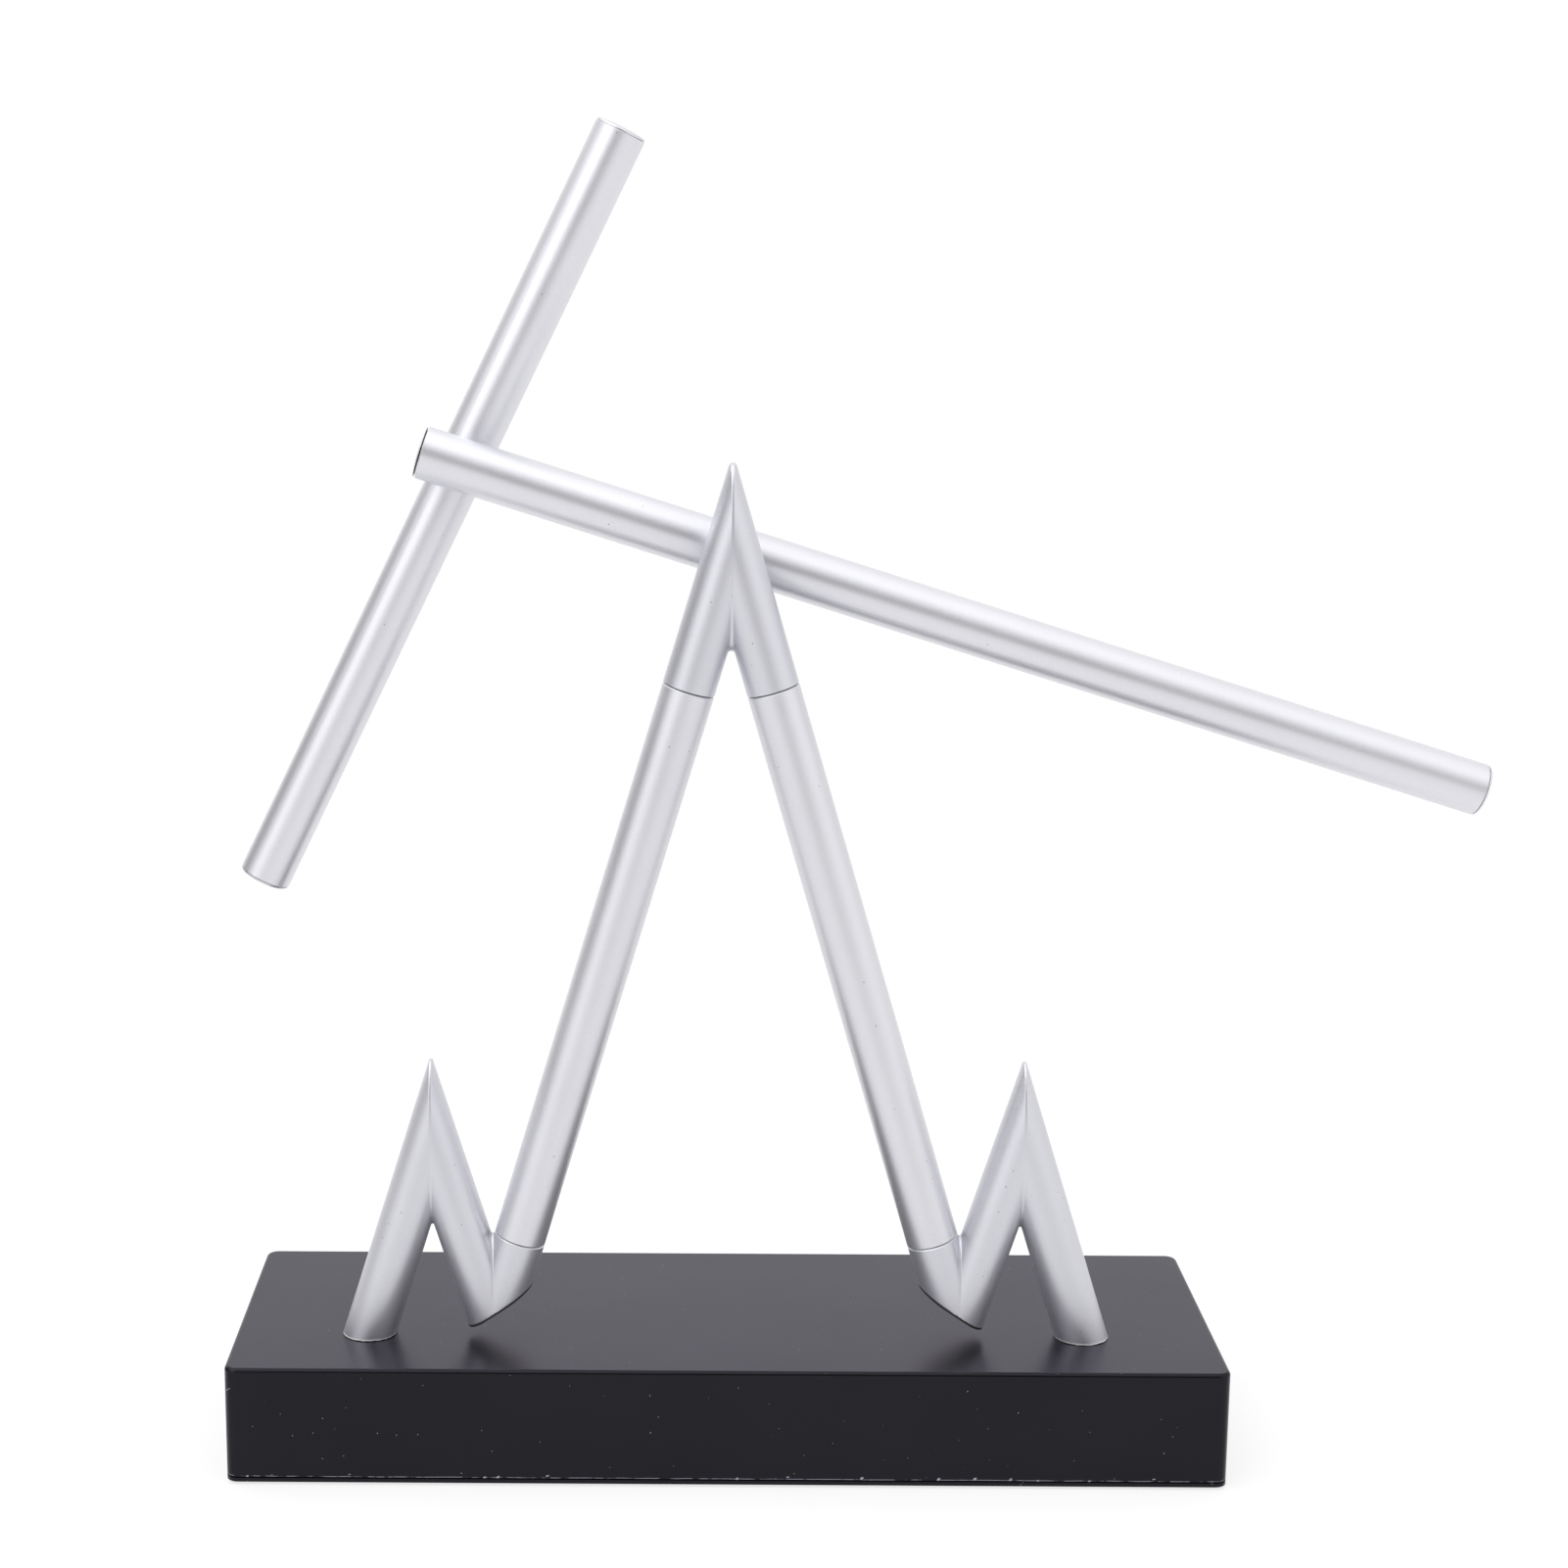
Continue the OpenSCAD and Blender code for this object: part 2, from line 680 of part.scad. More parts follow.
// A strip behind a cell, bent into a leaf that presses on the can
module spring_contacts() color(steel) {
  leaf_y = contact_t + contact_space;
  for (i = [0 : cell_count - 1]) {
    turn = cell_turn(i);
    translate([cell_x(i), -turn * tray_in_d / 2, cell_z]) mirror([0, turn > 0 ? 0 : 1, 0]) {
      contact_plate();
      translate([-contact_w / 4, 0, 0]) rotate([90, 0, 90]) linear_extrude(contact_w / 2)
        polygon([
          [0, contact_h / 2], [0, contact_h / 2 - contact_t],
          [leaf_y - contact_t, -leaf_drop + leaf_tip_h / 2], [leaf_y - contact_t, -leaf_drop - leaf_tip_h / 2],
          [3 * contact_t, -contact_h / 2], [4 * contact_t, -contact_h / 2],
          [leaf_y, -leaf_drop - leaf_tip_h / 2], [leaf_y, -leaf_drop + leaf_tip_h / 2],
          [contact_t, contact_h / 2]
        ]);
    }
  }
  contact_tab(lead_x[1]);
}

// Flat strips that the cells' buttons touch, each with a link to the next cell's spring
module button_contacts() color(steel) {
  for (i = [0 : cell_count - 1]) {
    turn = cell_turn(i);
    translate([cell_x(i), turn * tray_in_d / 2, cell_z]) mirror([0, turn > 0 ? 1 : 0, 0]) {
      contact_plate();
      if (i > 0) translate([contact_w / 2 - cell_pitch, 0, -contact_link_h / 2])
        cube([cell_pitch - contact_w, contact_t, contact_link_h]);
    }
  }
  contact_tab(lead_x[0]);
}

module battery_leads() color([0.7, 0.1, 0.1]) {
  tab_y = tray_in_d / 2 + tray_wall + contact_tab_out / 2;
  for (i = [0, 1]) {
    over_tray = tray_roof_z + tray_wall + lead_over_tray + i * lead_rise;
    lane_y = lead_lane_y - i * 2 * wire_d;
    end_x = lead_edge_x - i * lead_pitch;
    end_y = lead_end_y - i * lead_pitch;
    wire([
      [lead_x[i], tab_y, cell_z + contact_t / 2],
      [lead_x[i], tab_y, over_tray],
      [side_boss_x - lead_boss_gap, lane_y, over_tray],
      [-side_boss_x + lead_boss_gap, lane_y, lead_low_z],
      [end_x, end_y, lead_low_z],
      [end_x, end_y, board_top]
    ]);
  }
}

// Coil

module coil_bobbin() color([0.9, 0.9, 0.85]) {
  tube_outer = core_d + 2 * bobbin_tube_wall;
  difference() {
    union() {
      translate([0, long_y, coil_low_z]) cylinder(d = bobbin_d, h = bobbin_flange_t);
      translate([0, long_y, ceiling_z - bobbin_flange_t]) cylinder(d = bobbin_d, h = bobbin_flange_t);
      translate([0, long_y, coil_low_z]) cylinder(d = tube_outer, h = bobbin_h);
      translate([0, long_y, coil_low_z]) linear_extrude(bobbin_flange_t) {
        square([coil_screw_pitch, ear_w], center = true);
        for (side = [-1, 1]) translate([side * coil_screw_pitch / 2, 0]) circle(d = ear_w);
      }
    }
    translate([0, long_y, coil_low_z - past])
      cylinder(d = core_d + 2 * screw_clearance, h = bobbin_h + 2 * past);
    for (side = [-1, 1]) translate([side * coil_screw_pitch / 2, long_y, coil_low_z - past])
      cylinder(d = coil_screw_d + 2 * screw_clearance, h = bobbin_flange_t + 2 * past);
  }
}

module coil_winding() color(copper) {
  inner = core_d + 2 * bobbin_tube_wall + 2 * screw_clearance;
  translate([0, long_y, coil_low_z + bobbin_flange_t + screw_clearance])
    ring(winding_d, inner, bobbin_h - 2 * bobbin_flange_t - 2 * screw_clearance);
}

module coil_core() color(steel) {
  translate([0, long_y, coil_low_z]) {
    cylinder(d = core_d, h = bobbin_h);
    translate([0, 0, -core_head_h]) cylinder(d = core_head_d, h = core_head_h);
  }
}

module coil_screws() color(steel) {
  for (side = [-1, 1]) translate([side * coil_screw_pitch / 2, long_y, coil_low_z])
    screw_up(coil_screw_d, coil_screw_len, coil_screw_head_d, coil_screw_head_h);
}

module coil_leads() color(copper) {
  lead_off = boss_d / 2 + 3;
  lead_z = coil_low_z + bobbin_flange_t + 3;
  start_x = sqrt(pow(winding_d / 2, 2) - pow(lead_off - wire_d / 2, 2)) + screw_clearance;
  for (side = [-1, 1])
    wire([
      [-start_x, long_y + side * lead_off, lead_z],
      [-coil_screw_pitch / 2, long_y + side * lead_off, lead_z],
      [lead_edge_x, long_y + side * 3, lead_low_z],
      [lead_edge_x, long_y + side * 3, board_top]
    ]);
}

// Circuit board

module circuit_board() color([0.1, 0.4, 0.2]) {
  difference() {
    translate([board_x, 0, board_z]) linear_extrude(board_t) rounded_rect(board_w, board_d, board_corner_r);
    for (sx = [-1, 1], sy = [-1, 1])
      translate([board_x + sx * post_spot[0], sy * post_spot[1], board_z - past])
        cylinder(d = board_screw_d + 2 * board_hole_gap, h = board_t + 2 * past);
  }
}

module board_screws() color(steel) {
  for (sx = [-1, 1], sy = [-1, 1])
    translate([board_x + sx * post_spot[0], sy * post_spot[1], board_top]) rotate([180, 0, 0])
      screw_up(board_screw_d, board_screw_depth + board_t, board_screw_head_d, board_screw_head_h);
}

module drive_transistor() color([0.15, 0.15, 0.15]) {
  translate([board_x + transistor_spot[0], transistor_spot[1], board_top]) {
    for (i = [-1 : 1]) translate([i * transistor_leg_pitch, 0, 0])
      cylinder(d = transistor_leg_d, h = transistor_leg_h + transistor_leg_d, $fn = 24);
    translate([0, 0, transistor_leg_h]) difference() {
      cylinder(d = transistor_d, h = transistor_h);
      translate([-transistor_d, -transistor_d - transistor_flat, -past])
        cube([2 * transistor_d, transistor_d, transistor_h + 2 * past]);
    }
  }
}

module storage_capacitor() color([0.15, 0.2, 0.4]) {
  translate([board_x + capacitor_spot[0], capacitor_spot[1], board_top]) cylinder(d = capacitor_d, h = capacitor_h);
}

module resistors() color([0.8, 0.7, 0.5]) {
  for (i = [0 : 2]) translate([board_x + resistor_spot[0], resistor_spot[1] + i * resistor_pitch, board_top]) {
    for (side = [-1, 1]) translate([side * resistor_span / 2, 0, 0])
      cylinder(d = resistor_wire_d, h = resistor_h, $fn = 24);
    translate([-(resistor_span + resistor_wire_d) / 2, 0, resistor_h]) rotate([0, 90, 0])
      cylinder(d = resistor_wire_d, h = resistor_span + resistor_wire_d, $fn = 24);
    translate([-resistor_len / 2, 0, resistor_h]) rotate([0, 90, 0])
      cylinder(d = resistor_d, h = resistor_len, $fn = 32);
  }
}

// Frame

module foot_bolts() color(steel) {
  for (side = [-1, 1]) translate([side * foot_bolt_x, frame_y, ceiling_z - foot_washer_t])
    screw_up(foot_bolt_d, foot_washer_t + shell_top + foot_bolt_depth, foot_bolt_head_d, foot_bolt_head_h);
}

module foot_washers() color(steel) {
  for (side = [-1, 1]) translate([side * foot_bolt_x, frame_y, ceiling_z - foot_washer_t])
    ring(foot_washer_d, foot_bolt_d + 4 * screw_clearance, foot_washer_t);
}

// The right foot: leg stub, V bend, spike and foot tube in one casting
module foot_casting() {
  tip_z = spike_z + tube_r / sin(zigzag_angle);
  inner_len = (spike_z - v_z) / cos(zigzag_angle);
  difference() {
    trim_tip(spike_x, tip_z, zigzag_angle, spike_tip_r) {
      translate([v_x, frame_y, v_z]) rotate([0, v_mitre_lean, 0]) intersection() {
        rotate([0, -v_half_angle, 0]) shouldered_bar(-2 * tube_d, stub_len);
        half_space(-1);
      }
      translate([spike_x, frame_y, spike_z]) intersection() {
        rotate([0, 180 + zigzag_angle, 0]) plain_bar(-2 * tube_d, inner_len + 2 * tube_d);
        half_space(-1);
        translate([v_x - spike_x, 0, v_z - spike_z]) rotate([0, v_mitre_lean, 0]) half_space(1);
      }
      translate([spike_x, frame_y, spike_z]) intersection() {
        rotate([0, 180 - zigzag_angle, 0]) plain_bar(-2 * tube_d, spike_h + 2 * tube_d);
        half_space(1);
      }
    }
    translate([0, -far / 2, base_top - far]) cube(far);
    translate([v_x, frame_y, base_top + v_cut_h]) rotate([0, v_cut_angle, 0])
      translate([-far / 4, -far / 4, -far / 2]) cube(far / 2);
    translate([foot_bolt_x, frame_y, base_top - past])
      cylinder(d = foot_bolt_d + 2 * screw_clearance, h = foot_bolt_depth + 2 * past);
  }
  on_leg(1) translate([0, 0, stub_len - past]) cylinder(r = plug_r, h = spigot_len + past);
}

module right_foot_casting() color(cast_silver) foot_casting();

module left_foot_casting() color(cast_silver) mirror([1, 0, 0]) foot_casting();

module leg_tube(side) {
  on_leg(side) tube(stub_len, leg_len - head_len);
}

module left_leg_tube() color(silver) leg_tube(-1);

module right_leg_tube() color(silver) leg_tube(1);

module head_casting() color(cast_silver) {
  tip_z = apex_z + tube_r / sin(leg_angle);
  difference() {
    trim_tip(0, tip_z, leg_angle, head_tip_r)
      for (side = [-1, 1]) intersection() {
        on_head(side) shouldered_bar(-2.5 * tube_d, head_len);
        translate([0, frame_y, apex_z]) half_space(side);
      }
    translate([0, frame_y, pivot_z]) {
      y_bar(seat_d, head_seat_reach, tube_d);
      y_bar(axle_thread_d + 2 * screw_clearance, head_seat_reach - axle_thread_len - thread_gap, tube_d);
    }
  }
  for (side = [-1, 1])
    on_head(side) translate([0, 0, head_len - past]) cylinder(r = plug_r, h = spigot_len + past);
}

// Pivots, each in the frame of its stick: Y = 0 is the stick's own plane

// A shoulder screw from the back: thread up to seat_y, then shank, collar and head
module axle_screw(seat_y) {
  collar_d = inner_shoulder_d - shoulder_step;
  collar_t = 0.3;
  y_bar(axle_thread_d, seat_y - axle_thread_len, seat_y);
  y_bar(axle_d, seat_y, bearing_reach);
  y_bar(collar_d, bearing_reach, bearing_reach + collar_t);
  difference() {
    y_bar(axle_head_d, bearing_reach + collar_t, bearing_reach + collar_t + axle_head_h);
    translate([0, bearing_reach + collar_t + axle_head_h / 3, 0]) rotate([-90, 0, 0])
      cylinder(d = axle_socket_w / cos(30), h = axle_head_h, $fn = 6);
  }
}

module axle_spacer(seat_y) {
  y_ring(spacer_d, axle_d + 4 * screw_clearance, seat_y, -bearing_reach);
}

// Places a front and a back bearing, each drawn along Y about its own middle
module both_bearings() {
  for (side = [-1, 1])
    translate([0, side * (bearing_reach - bearing_w / 2), 0]) rotate([0, 0, side > 0 ? 0 : 180]) children();
}

module ball_groove() {
  rotate([-90, 0, 0]) rotate_extrude($fn = 96) translate([ball_circle_d / 2, 0])
    circle(d = ball_d + 2 * ball_clearance);
}

module inner_rings() {
  both_bearings() difference() {
    y_ring(inner_shoulder_d, bearing_bore, -bearing_w / 2, bearing_w / 2);
    ball_groove();
  }
}

module outer_rings() {
  both_bearings() difference() {
    y_ring(bearing_d, outer_shoulder_d, -bearing_w / 2, bearing_w / 2);
    ball_groove();
  }
}

module bearing_balls() {
  both_bearings() for (i = [0 : ball_count - 1]) rotate([0, i * 360 / ball_count, 0])
    translate([ball_circle_d / 2, 0, 0]) sphere(d = ball_d, $fn = 32);
}

// A crown cage: a ring beside the balls with a finger between each two
module ball_cages() {
  cage_w = 0.36;
  cage_in = (ball_circle_d - cage_w) / 2;
  ring_y = ball_d / 2 + cage_gap;
  ring_t = 0.3;
  finger_w = 0.7;
  both_bearings() {
    y_ring(2 * (cage_in + cage_w), 2 * cage_in, ring_y, ring_y + ring_t);
    for (i = [0 : ball_count - 1]) rotate([0, (i + 0.5) * 360 / ball_count, 0])
      translate([cage_in, 0, -finger_w / 2]) cube([cage_w, ring_y + ring_t / 2, finger_w]);
  }
}

module inner_sleeve() {
  y_ring(inner_shoulder_d - shoulder_step, axle_d + 4 * screw_clearance,
    bearing_w - bearing_reach, bearing_reach - bearing_w);
}

// The block inside a tube that holds the two bearings; its length runs along X
module bearing_hub() {
  pocket_d = bearing_d + 2 * plug_clearance;
  difference() {
    translate([-hub_len / 2, 0, 0]) rotate([0, 90, 0]) cylinder(r = plug_r, h = hub_len);
    y_bar(outer_shoulder_d, -tube_d, tube_d);
    y_bar(pocket_d, bearing_reach - bearing_w, tube_d);
    y_bar(pocket_d, -tube_d, bearing_w - bearing_reach);
  }
}

// An end cap: plug, gap line, rim and low dome, with the tube's end at z = 0
module end_cap() {
  rim_r = tube_r - cap_inset;
  dome_r = (pow(rim_r, 2) + pow(cap_dome, 2)) / (2 * cap_dome);
  translate([0, 0, -cap_plug_len]) cylinder(r = plug_r, h = cap_plug_len + cap_reveal + cap_rim / 2);
  translate([0, 0, cap_reveal]) cylinder(r = rim_r, h = cap_rim);
  intersection() {
    translate([0, 0, cap_reveal + cap_rim / 2]) cylinder(r = rim_r, h = 2 * cap_dome);
    translate([0, 0, cap_reveal + cap_rim + cap_dome - dome_r]) sphere(r = dome_r, $fn = 256);
  }
}

module main_axle_screw() color(steel) at_long() axle_screw(main_seat_y);

module main_axle_spacer() color(steel) at_long() axle_spacer(main_seat_y);

module main_inner_rings() color(steel) at_long() inner_rings();

module main_inner_sleeve() color(steel) at_long() inner_sleeve();

module main_bearing_balls() color(steel) at_long() bearing_balls();

module main_ball_cages() color(brass) at_long() ball_cages();

module main_outer_rings() color(steel) at_long() outer_rings();

module second_axle_screw() color(steel) at_short() axle_screw(second_seat_y);

module second_axle_spacer() color(steel) at_short() axle_spacer(second_seat_y);

module second_inner_rings() color(steel) at_short() inner_rings();

module second_inner_sleeve() color(steel) at_short() inner_sleeve();

module second_bearing_balls() color(steel) at_short() bearing_balls();

module second_ball_cages() color(brass) at_short() ball_cages();

module second_outer_rings() color(steel) at_short() outer_rings();

// Long stick

module long_stick_tube() color(silver) {
  difference() {
    along_long() tube(-long_inner_arm, long_outer_arm);
    at_long() y_bar(window_d, -tube_d, tube_d);
    at_second_seat() y_bar(seat_d, 0, tube_d);
  }
}

module long_stick_hub() color(brass) at_long() bearing_hub();

module long_stick_weight() color(brass) {
  along_long() translate([0, 0, -long_weight_x - long_weight_len / 2])
    cylinder(r = plug_r, h = long_weight_len);
}

module magnet_end_cap() color(silver) along_long() translate([0, 0, long_outer_arm]) end_cap();

module long_end_cap() color(silver)
  along_long() translate([0, 0, -long_inner_arm]) rotate([180, 0, 0]) end_cap();

module drive_magnet() color(steel) {
  along_long() translate([0, 0, long_outer_arm - cap_plug_len - magnet_len])
    cylinder(r = plug_r, h = magnet_len);
}

module magnet_block() color([0.9, 0.9, 0.88]) {
  along_long() translate([0, 0, long_outer_arm - cap_plug_len - magnet_len - magnet_block_len])
    cylinder(r = plug_r, h = magnet_block_len);
}

// Solid block near the long stick's end, with a flat and a blind hole for the second axle
module axle_block() color(brass) at_second_seat() difference() {
  translate([-axle_block_half, 0, 0]) rotate([0, 90, 0]) cylinder(r = plug_r, h = 2 * axle_block_half);
  y_bar(seat_d, seat_reach, tube_d);
  y_bar(axle_thread_d + 2 * screw_clearance, seat_reach - axle_thread_len - thread_gap, tube_d);
}

// Short stick

module short_stick_tube() color(silver) {
  difference() {
    at_short() tube(-short_lower_arm, short_upper_arm);
    at_short() y_bar(window_d, -tube_d, tube_d);
  }
}

module short_stick_hub() color(brass) at_short() rotate([0, 90, 0]) bearing_hub();

module short_stick_weight() color(brass) at_short()
  translate([0, 0, short_upper_arm - cap_plug_len - short_weight_len]) cylinder(r = plug_r, h = short_weight_len);

module short_upper_cap() color(silver) at_short() translate([0, 0, short_upper_arm]) end_cap();

module short_lower_cap() color(silver)
  at_short() translate([0, 0, -short_lower_arm]) rotate([180, 0, 0]) end_cap();

base_shell();
bottom_plate();
rubber_pads();
plate_screws();
battery_door();
battery_cells();
spring_contacts();
button_contacts();
battery_leads();
coil_bobbin();
coil_winding();
coil_core();
coil_screws();
coil_leads();
circuit_board();
board_screws();
drive_transistor();
storage_capacitor();
resistors();
foot_bolts();
foot_washers();
left_foot_casting();
right_foot_casting();
left_leg_tube();
right_leg_tube();
head_casting();
main_axle_screw();
main_axle_spacer();
main_inner_rings();
main_inner_sleeve();
main_bearing_balls();
main_ball_cages();
main_outer_rings();
long_stick_tube();
long_stick_hub();
long_stick_weight();
drive_magnet();
magnet_block();
long_end_cap();
magnet_end_cap();
axle_block();
second_axle_screw();
second_axle_spacer();
second_inner_rings();
second_inner_sleeve();
second_bearing_balls();
second_ball_cages();
second_outer_rings();
short_stick_tube();
short_stick_hub();
short_stick_weight();
short_upper_cap();
short_lower_cap();
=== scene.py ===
# %% [markdown]
# # A kinetic desk toy: two free sticks on a zigzag tube frame
#
# The packed CAD model is the skeleton of this scene: it says where every piece stands and how
# it moves. This lesson dresses it. Pieces whose form the CAD model gives only roughly are made
# again as smooth surfaces, and every other piece keeps its mesh and gets a finish.

# %% Load the skeleton
import json
from math import acos, atan, cos, degrees, pi, radians, sin, tan

import bpy
import numpy as np
from mathutils import Matrix, Vector


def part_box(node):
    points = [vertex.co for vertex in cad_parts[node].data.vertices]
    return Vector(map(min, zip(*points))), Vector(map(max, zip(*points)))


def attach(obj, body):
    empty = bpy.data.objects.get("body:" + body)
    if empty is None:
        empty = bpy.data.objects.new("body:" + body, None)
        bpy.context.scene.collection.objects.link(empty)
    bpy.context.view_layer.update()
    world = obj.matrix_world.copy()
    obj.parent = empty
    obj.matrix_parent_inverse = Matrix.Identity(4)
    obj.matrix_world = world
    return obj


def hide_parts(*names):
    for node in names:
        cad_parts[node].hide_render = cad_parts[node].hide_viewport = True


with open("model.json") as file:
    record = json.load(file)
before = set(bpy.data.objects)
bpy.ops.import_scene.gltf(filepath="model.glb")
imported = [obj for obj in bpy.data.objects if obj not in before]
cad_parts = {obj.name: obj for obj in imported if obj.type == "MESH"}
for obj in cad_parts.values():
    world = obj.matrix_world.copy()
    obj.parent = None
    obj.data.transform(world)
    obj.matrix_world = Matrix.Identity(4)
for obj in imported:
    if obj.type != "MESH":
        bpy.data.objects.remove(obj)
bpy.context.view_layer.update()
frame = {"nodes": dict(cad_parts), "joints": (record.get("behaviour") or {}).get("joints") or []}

# %% [markdown]
# ## Sizes
#
# The real frame is one idea: a tube of 12.6 mm that zigzags over the base. A few sizes
# describe it, and they are the same ones that the CAD model is drawn from. They could all be
# typed in here, but what can be measured on the skeleton, such as the tube's radius and the
# planes of the pieces, is measured there, so the surfaces made below can't drift away from the
# pieces they touch.

# %% Sizes of the toy
MM = 0.001


def middle(node, axis):
    """The middle of a node's box along one axis."""
    low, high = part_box(node)
    return (low[axis] + high[axis]) / 2


def reach(node, axis):
    """Half of a node's box along one axis."""
    low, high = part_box(node)
    return (high[axis] - low[axis]) / 2


hinges = {joint["name"]: joint for joint in frame["joints"]}
main_pivot = np.array(hinges["long_stick_swing"]["pos_m"])
second_pivot = np.array(hinges["short_stick_swing"]["pos_m"])
base_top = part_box("base_shell")[1][2]
frame_y = middle("left_leg_tube", 1)
tube_r = reach("left_leg_tube", 1)
tube_wall = 1 * MM
plug_clearance = 0.05 * MM
bore_r = tube_r - tube_wall
plug_r = bore_r - plug_clearance
sharp_edge = 0.06 * MM
lit_edge = 0.32 * MM
seam_gap = 0.22 * MM

# How far the V's bend stands from the middle and over the base, and the spike's bend over it
v_out = 56.7 * MM
v_rise = 3.2 * MM
spike_rise = 46.9 * MM
spike_lean = radians(17.5)
pivot_drop = 2.5 * MM
stub_len = 22.6 * MM
head_len = 34.7 * MM
spigot_len = 10 * MM

# Places in the picture plane are (x, z)
v_bend = np.array([v_out, base_top + v_rise])
spike_bend = v_bend + spike_rise * np.array([tan(spike_lean), 1])
foot_end = spike_bend + (spike_bend[1] - base_top) * np.array([tan(spike_lean), -1])
apex = np.array([0, main_pivot[2] + pivot_drop])
leg_lean = atan(v_bend[0] / (apex[1] - v_bend[1]))
leg_len = np.linalg.norm(apex - v_bend)
print("tube", round(2 * tube_r / MM, 2), "mm, legs lean", round(degrees(leg_lean), 2), "degrees")

# %% [markdown]
# ## From a grid of points to a mesh
#
# Every new piece is a stack of rings: one ring round the piece for each step along it. Such a
# piece could also be extruded by hand, ring after ring, but numpy works out all rings at once
# from a formula, and the faces follow from the grid: each ring point is joined to its neighbour
# and to the same two points of the next ring. The skin has to be closed. On a solid piece the
# first and the last ring shrink to a point, and on an open tube the last ring is joined to the
# first again. Its faces have to look outwards, so the volume inside it is worked out, and where
# that comes out below 0 every face is turned round.

# %% A mesh from rings
BODY_OF_BASE = "base"
# Faces that meet at a larger angle than this, in degrees, keep a sharp edge between them
CREASE = 35


def signed_volume(corners, groups):
    """Six times the volume inside a closed skin, below 0 where its faces point inwards. Each
    face is cut in triangles from its first corner a, and a triangle adds a . (b x c)."""
    total = 0.0
    for group in groups:
        for k in range(1, group.shape[1] - 1):
            a, b, c = (corners[group[:, j]] for j in (0, k, k + 1))
            total += np.einsum("ij,ij->", a, np.cross(b, c))
    return total


def corner_list(grid, looped):
    """The grid[step, point] as one row per corner: all of it for a tube, and one corner for
    each end ring of a solid piece."""
    inner = grid if looped else grid[1:-1]
    rows = inner.reshape(-1, *grid.shape[2:])
    return rows if looped else np.concatenate([grid[:1, 0], rows, grid[-1:, 0]])


def ring_faces(steps, points, looped):
    """Corner numbers of the four-cornered faces between rings, and of the end fans. Ring point
    p on step s is corner s * points + p of a tube and 1 + (s - 1) * points + p of a solid."""
    if looped:
        number = np.arange(steps * points).reshape(steps, points)
        number = np.vstack([number, number[:1]])
    else:
        number = 1 + np.arange((steps - 2) * points).reshape(steps - 2, points)
    beside = np.roll(number, -1, axis=1)
    quads = np.stack([number[:-1], beside[:-1], beside[1:], number[1:]], axis=-1).reshape(-1, 4)
    if looped:
        return [quads]
    last_corner = (steps - 2) * points + 1
    first = np.stack([np.zeros(points, int), beside[0], number[0]], axis=-1)
    last = np.stack([np.full(points, last_corner), number[-1], beside[-1]], axis=-1)
    return [quads, first, last]


def ring_skin(rings, gap):
    """Corners, groups of faces and gap shares of the closed skin over rings[step, point]."""
    looped = not np.allclose(rings[0], rings[0, 0])
    corners = corner_list(rings, looped)
    groups = ring_faces(*rings.shape[:2], looped)
    if signed_volume(corners, groups) < 0:
        groups = [group[:, ::-1] for group in groups]
    gap = corner_list(np.broadcast_to(gap, rings.shape[:2]), looped)
    return corners, groups, gap


def make_piece(name, skins, finish, body, replaced, gap=0.0):
    """One object from a list of ring stacks, in place of the replaced nodes. gap is 0 on an
    open surface and 1 deep in a gap or just over a cut, for each ring or ring point, and becomes
    an attribute, which the silver finishes darken as painted shade."""
    corners, faces, gaps = [], [], []
    for rings in skins:
        start = sum(len(group) for group in corners)
        skin_corners, groups, skin_gap = ring_skin(rings, gap)
        corners.append(skin_corners)
        for group in groups:
            faces += (start + group).tolist()
        gaps.append(skin_gap)
    mesh = bpy.data.meshes.new(name)
    mesh.from_pydata(np.vstack(corners), [], faces)
    mesh.shade_smooth()
    mesh.set_sharp_from_angle(angle=radians(CREASE))
    values = np.concatenate(gaps).astype(np.float32)
    mesh.attributes.new("gap", "FLOAT", "POINT").data.foreach_set("value", values)
    mesh.materials.append(finish)
    piece = bpy.data.objects.new(name, mesh)
    bpy.context.scene.collection.objects.link(piece)
    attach(piece, body)
    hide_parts(*replaced)
    print(name, len(faces), "faces")


print("an open tube of 4 rings of 8 points has", len(ring_faces(4, 8, True)[0]), "faces")

# %% [markdown]
# ## Shader sums
#
# A finish is a small formula: a noise here, a threshold there, their product as a mask. The
# nodes could be placed and joined by hand in the shader editor, but then the formula is hard to
# read. A `Wire` is what comes out of a node, and adding or multiplying wires adds the Math
# nodes, so the formula can be written as it is thought of.

# %% Wires
class Wire:
    """The output of a shader node. Arithmetic on it adds Math nodes."""

    def __init__(self, recipe, socket):
        self.recipe = recipe
        self.socket = socket

    def __add__(self, other):
        return self.recipe.math("ADD", self, other)

    def __radd__(self, other):
        return self.recipe.math("ADD", other, self)

    def __sub__(self, other):
        return self.recipe.math("SUBTRACT", self, other)

    def __rsub__(self, other):
        return self.recipe.math("SUBTRACT", other, self)

    def __mul__(self, other):
        return self.recipe.math("MULTIPLY", self, other)

    def __rmul__(self, other):
        return self.recipe.math("MULTIPLY", other, self)

    def above(self, level, width):
        """0 under level, 1 over level + width, and a smooth step between."""
        settings = dict(interpolation_type="SMOOTHSTEP")
        sockets = {"Value": self, "From Min": level, "From Max": level + width}
        return self.recipe.node("ShaderNodeMapRange", settings, sockets)

    def below(self, level, width):
        """1 under level, 0 over level + width."""
        return 1 - self.above(level, width)


operators = [name.strip("_") for name, value in vars(Wire).items() if callable(value)]
print("a wire's methods:", ", ".join(operators[1:]))

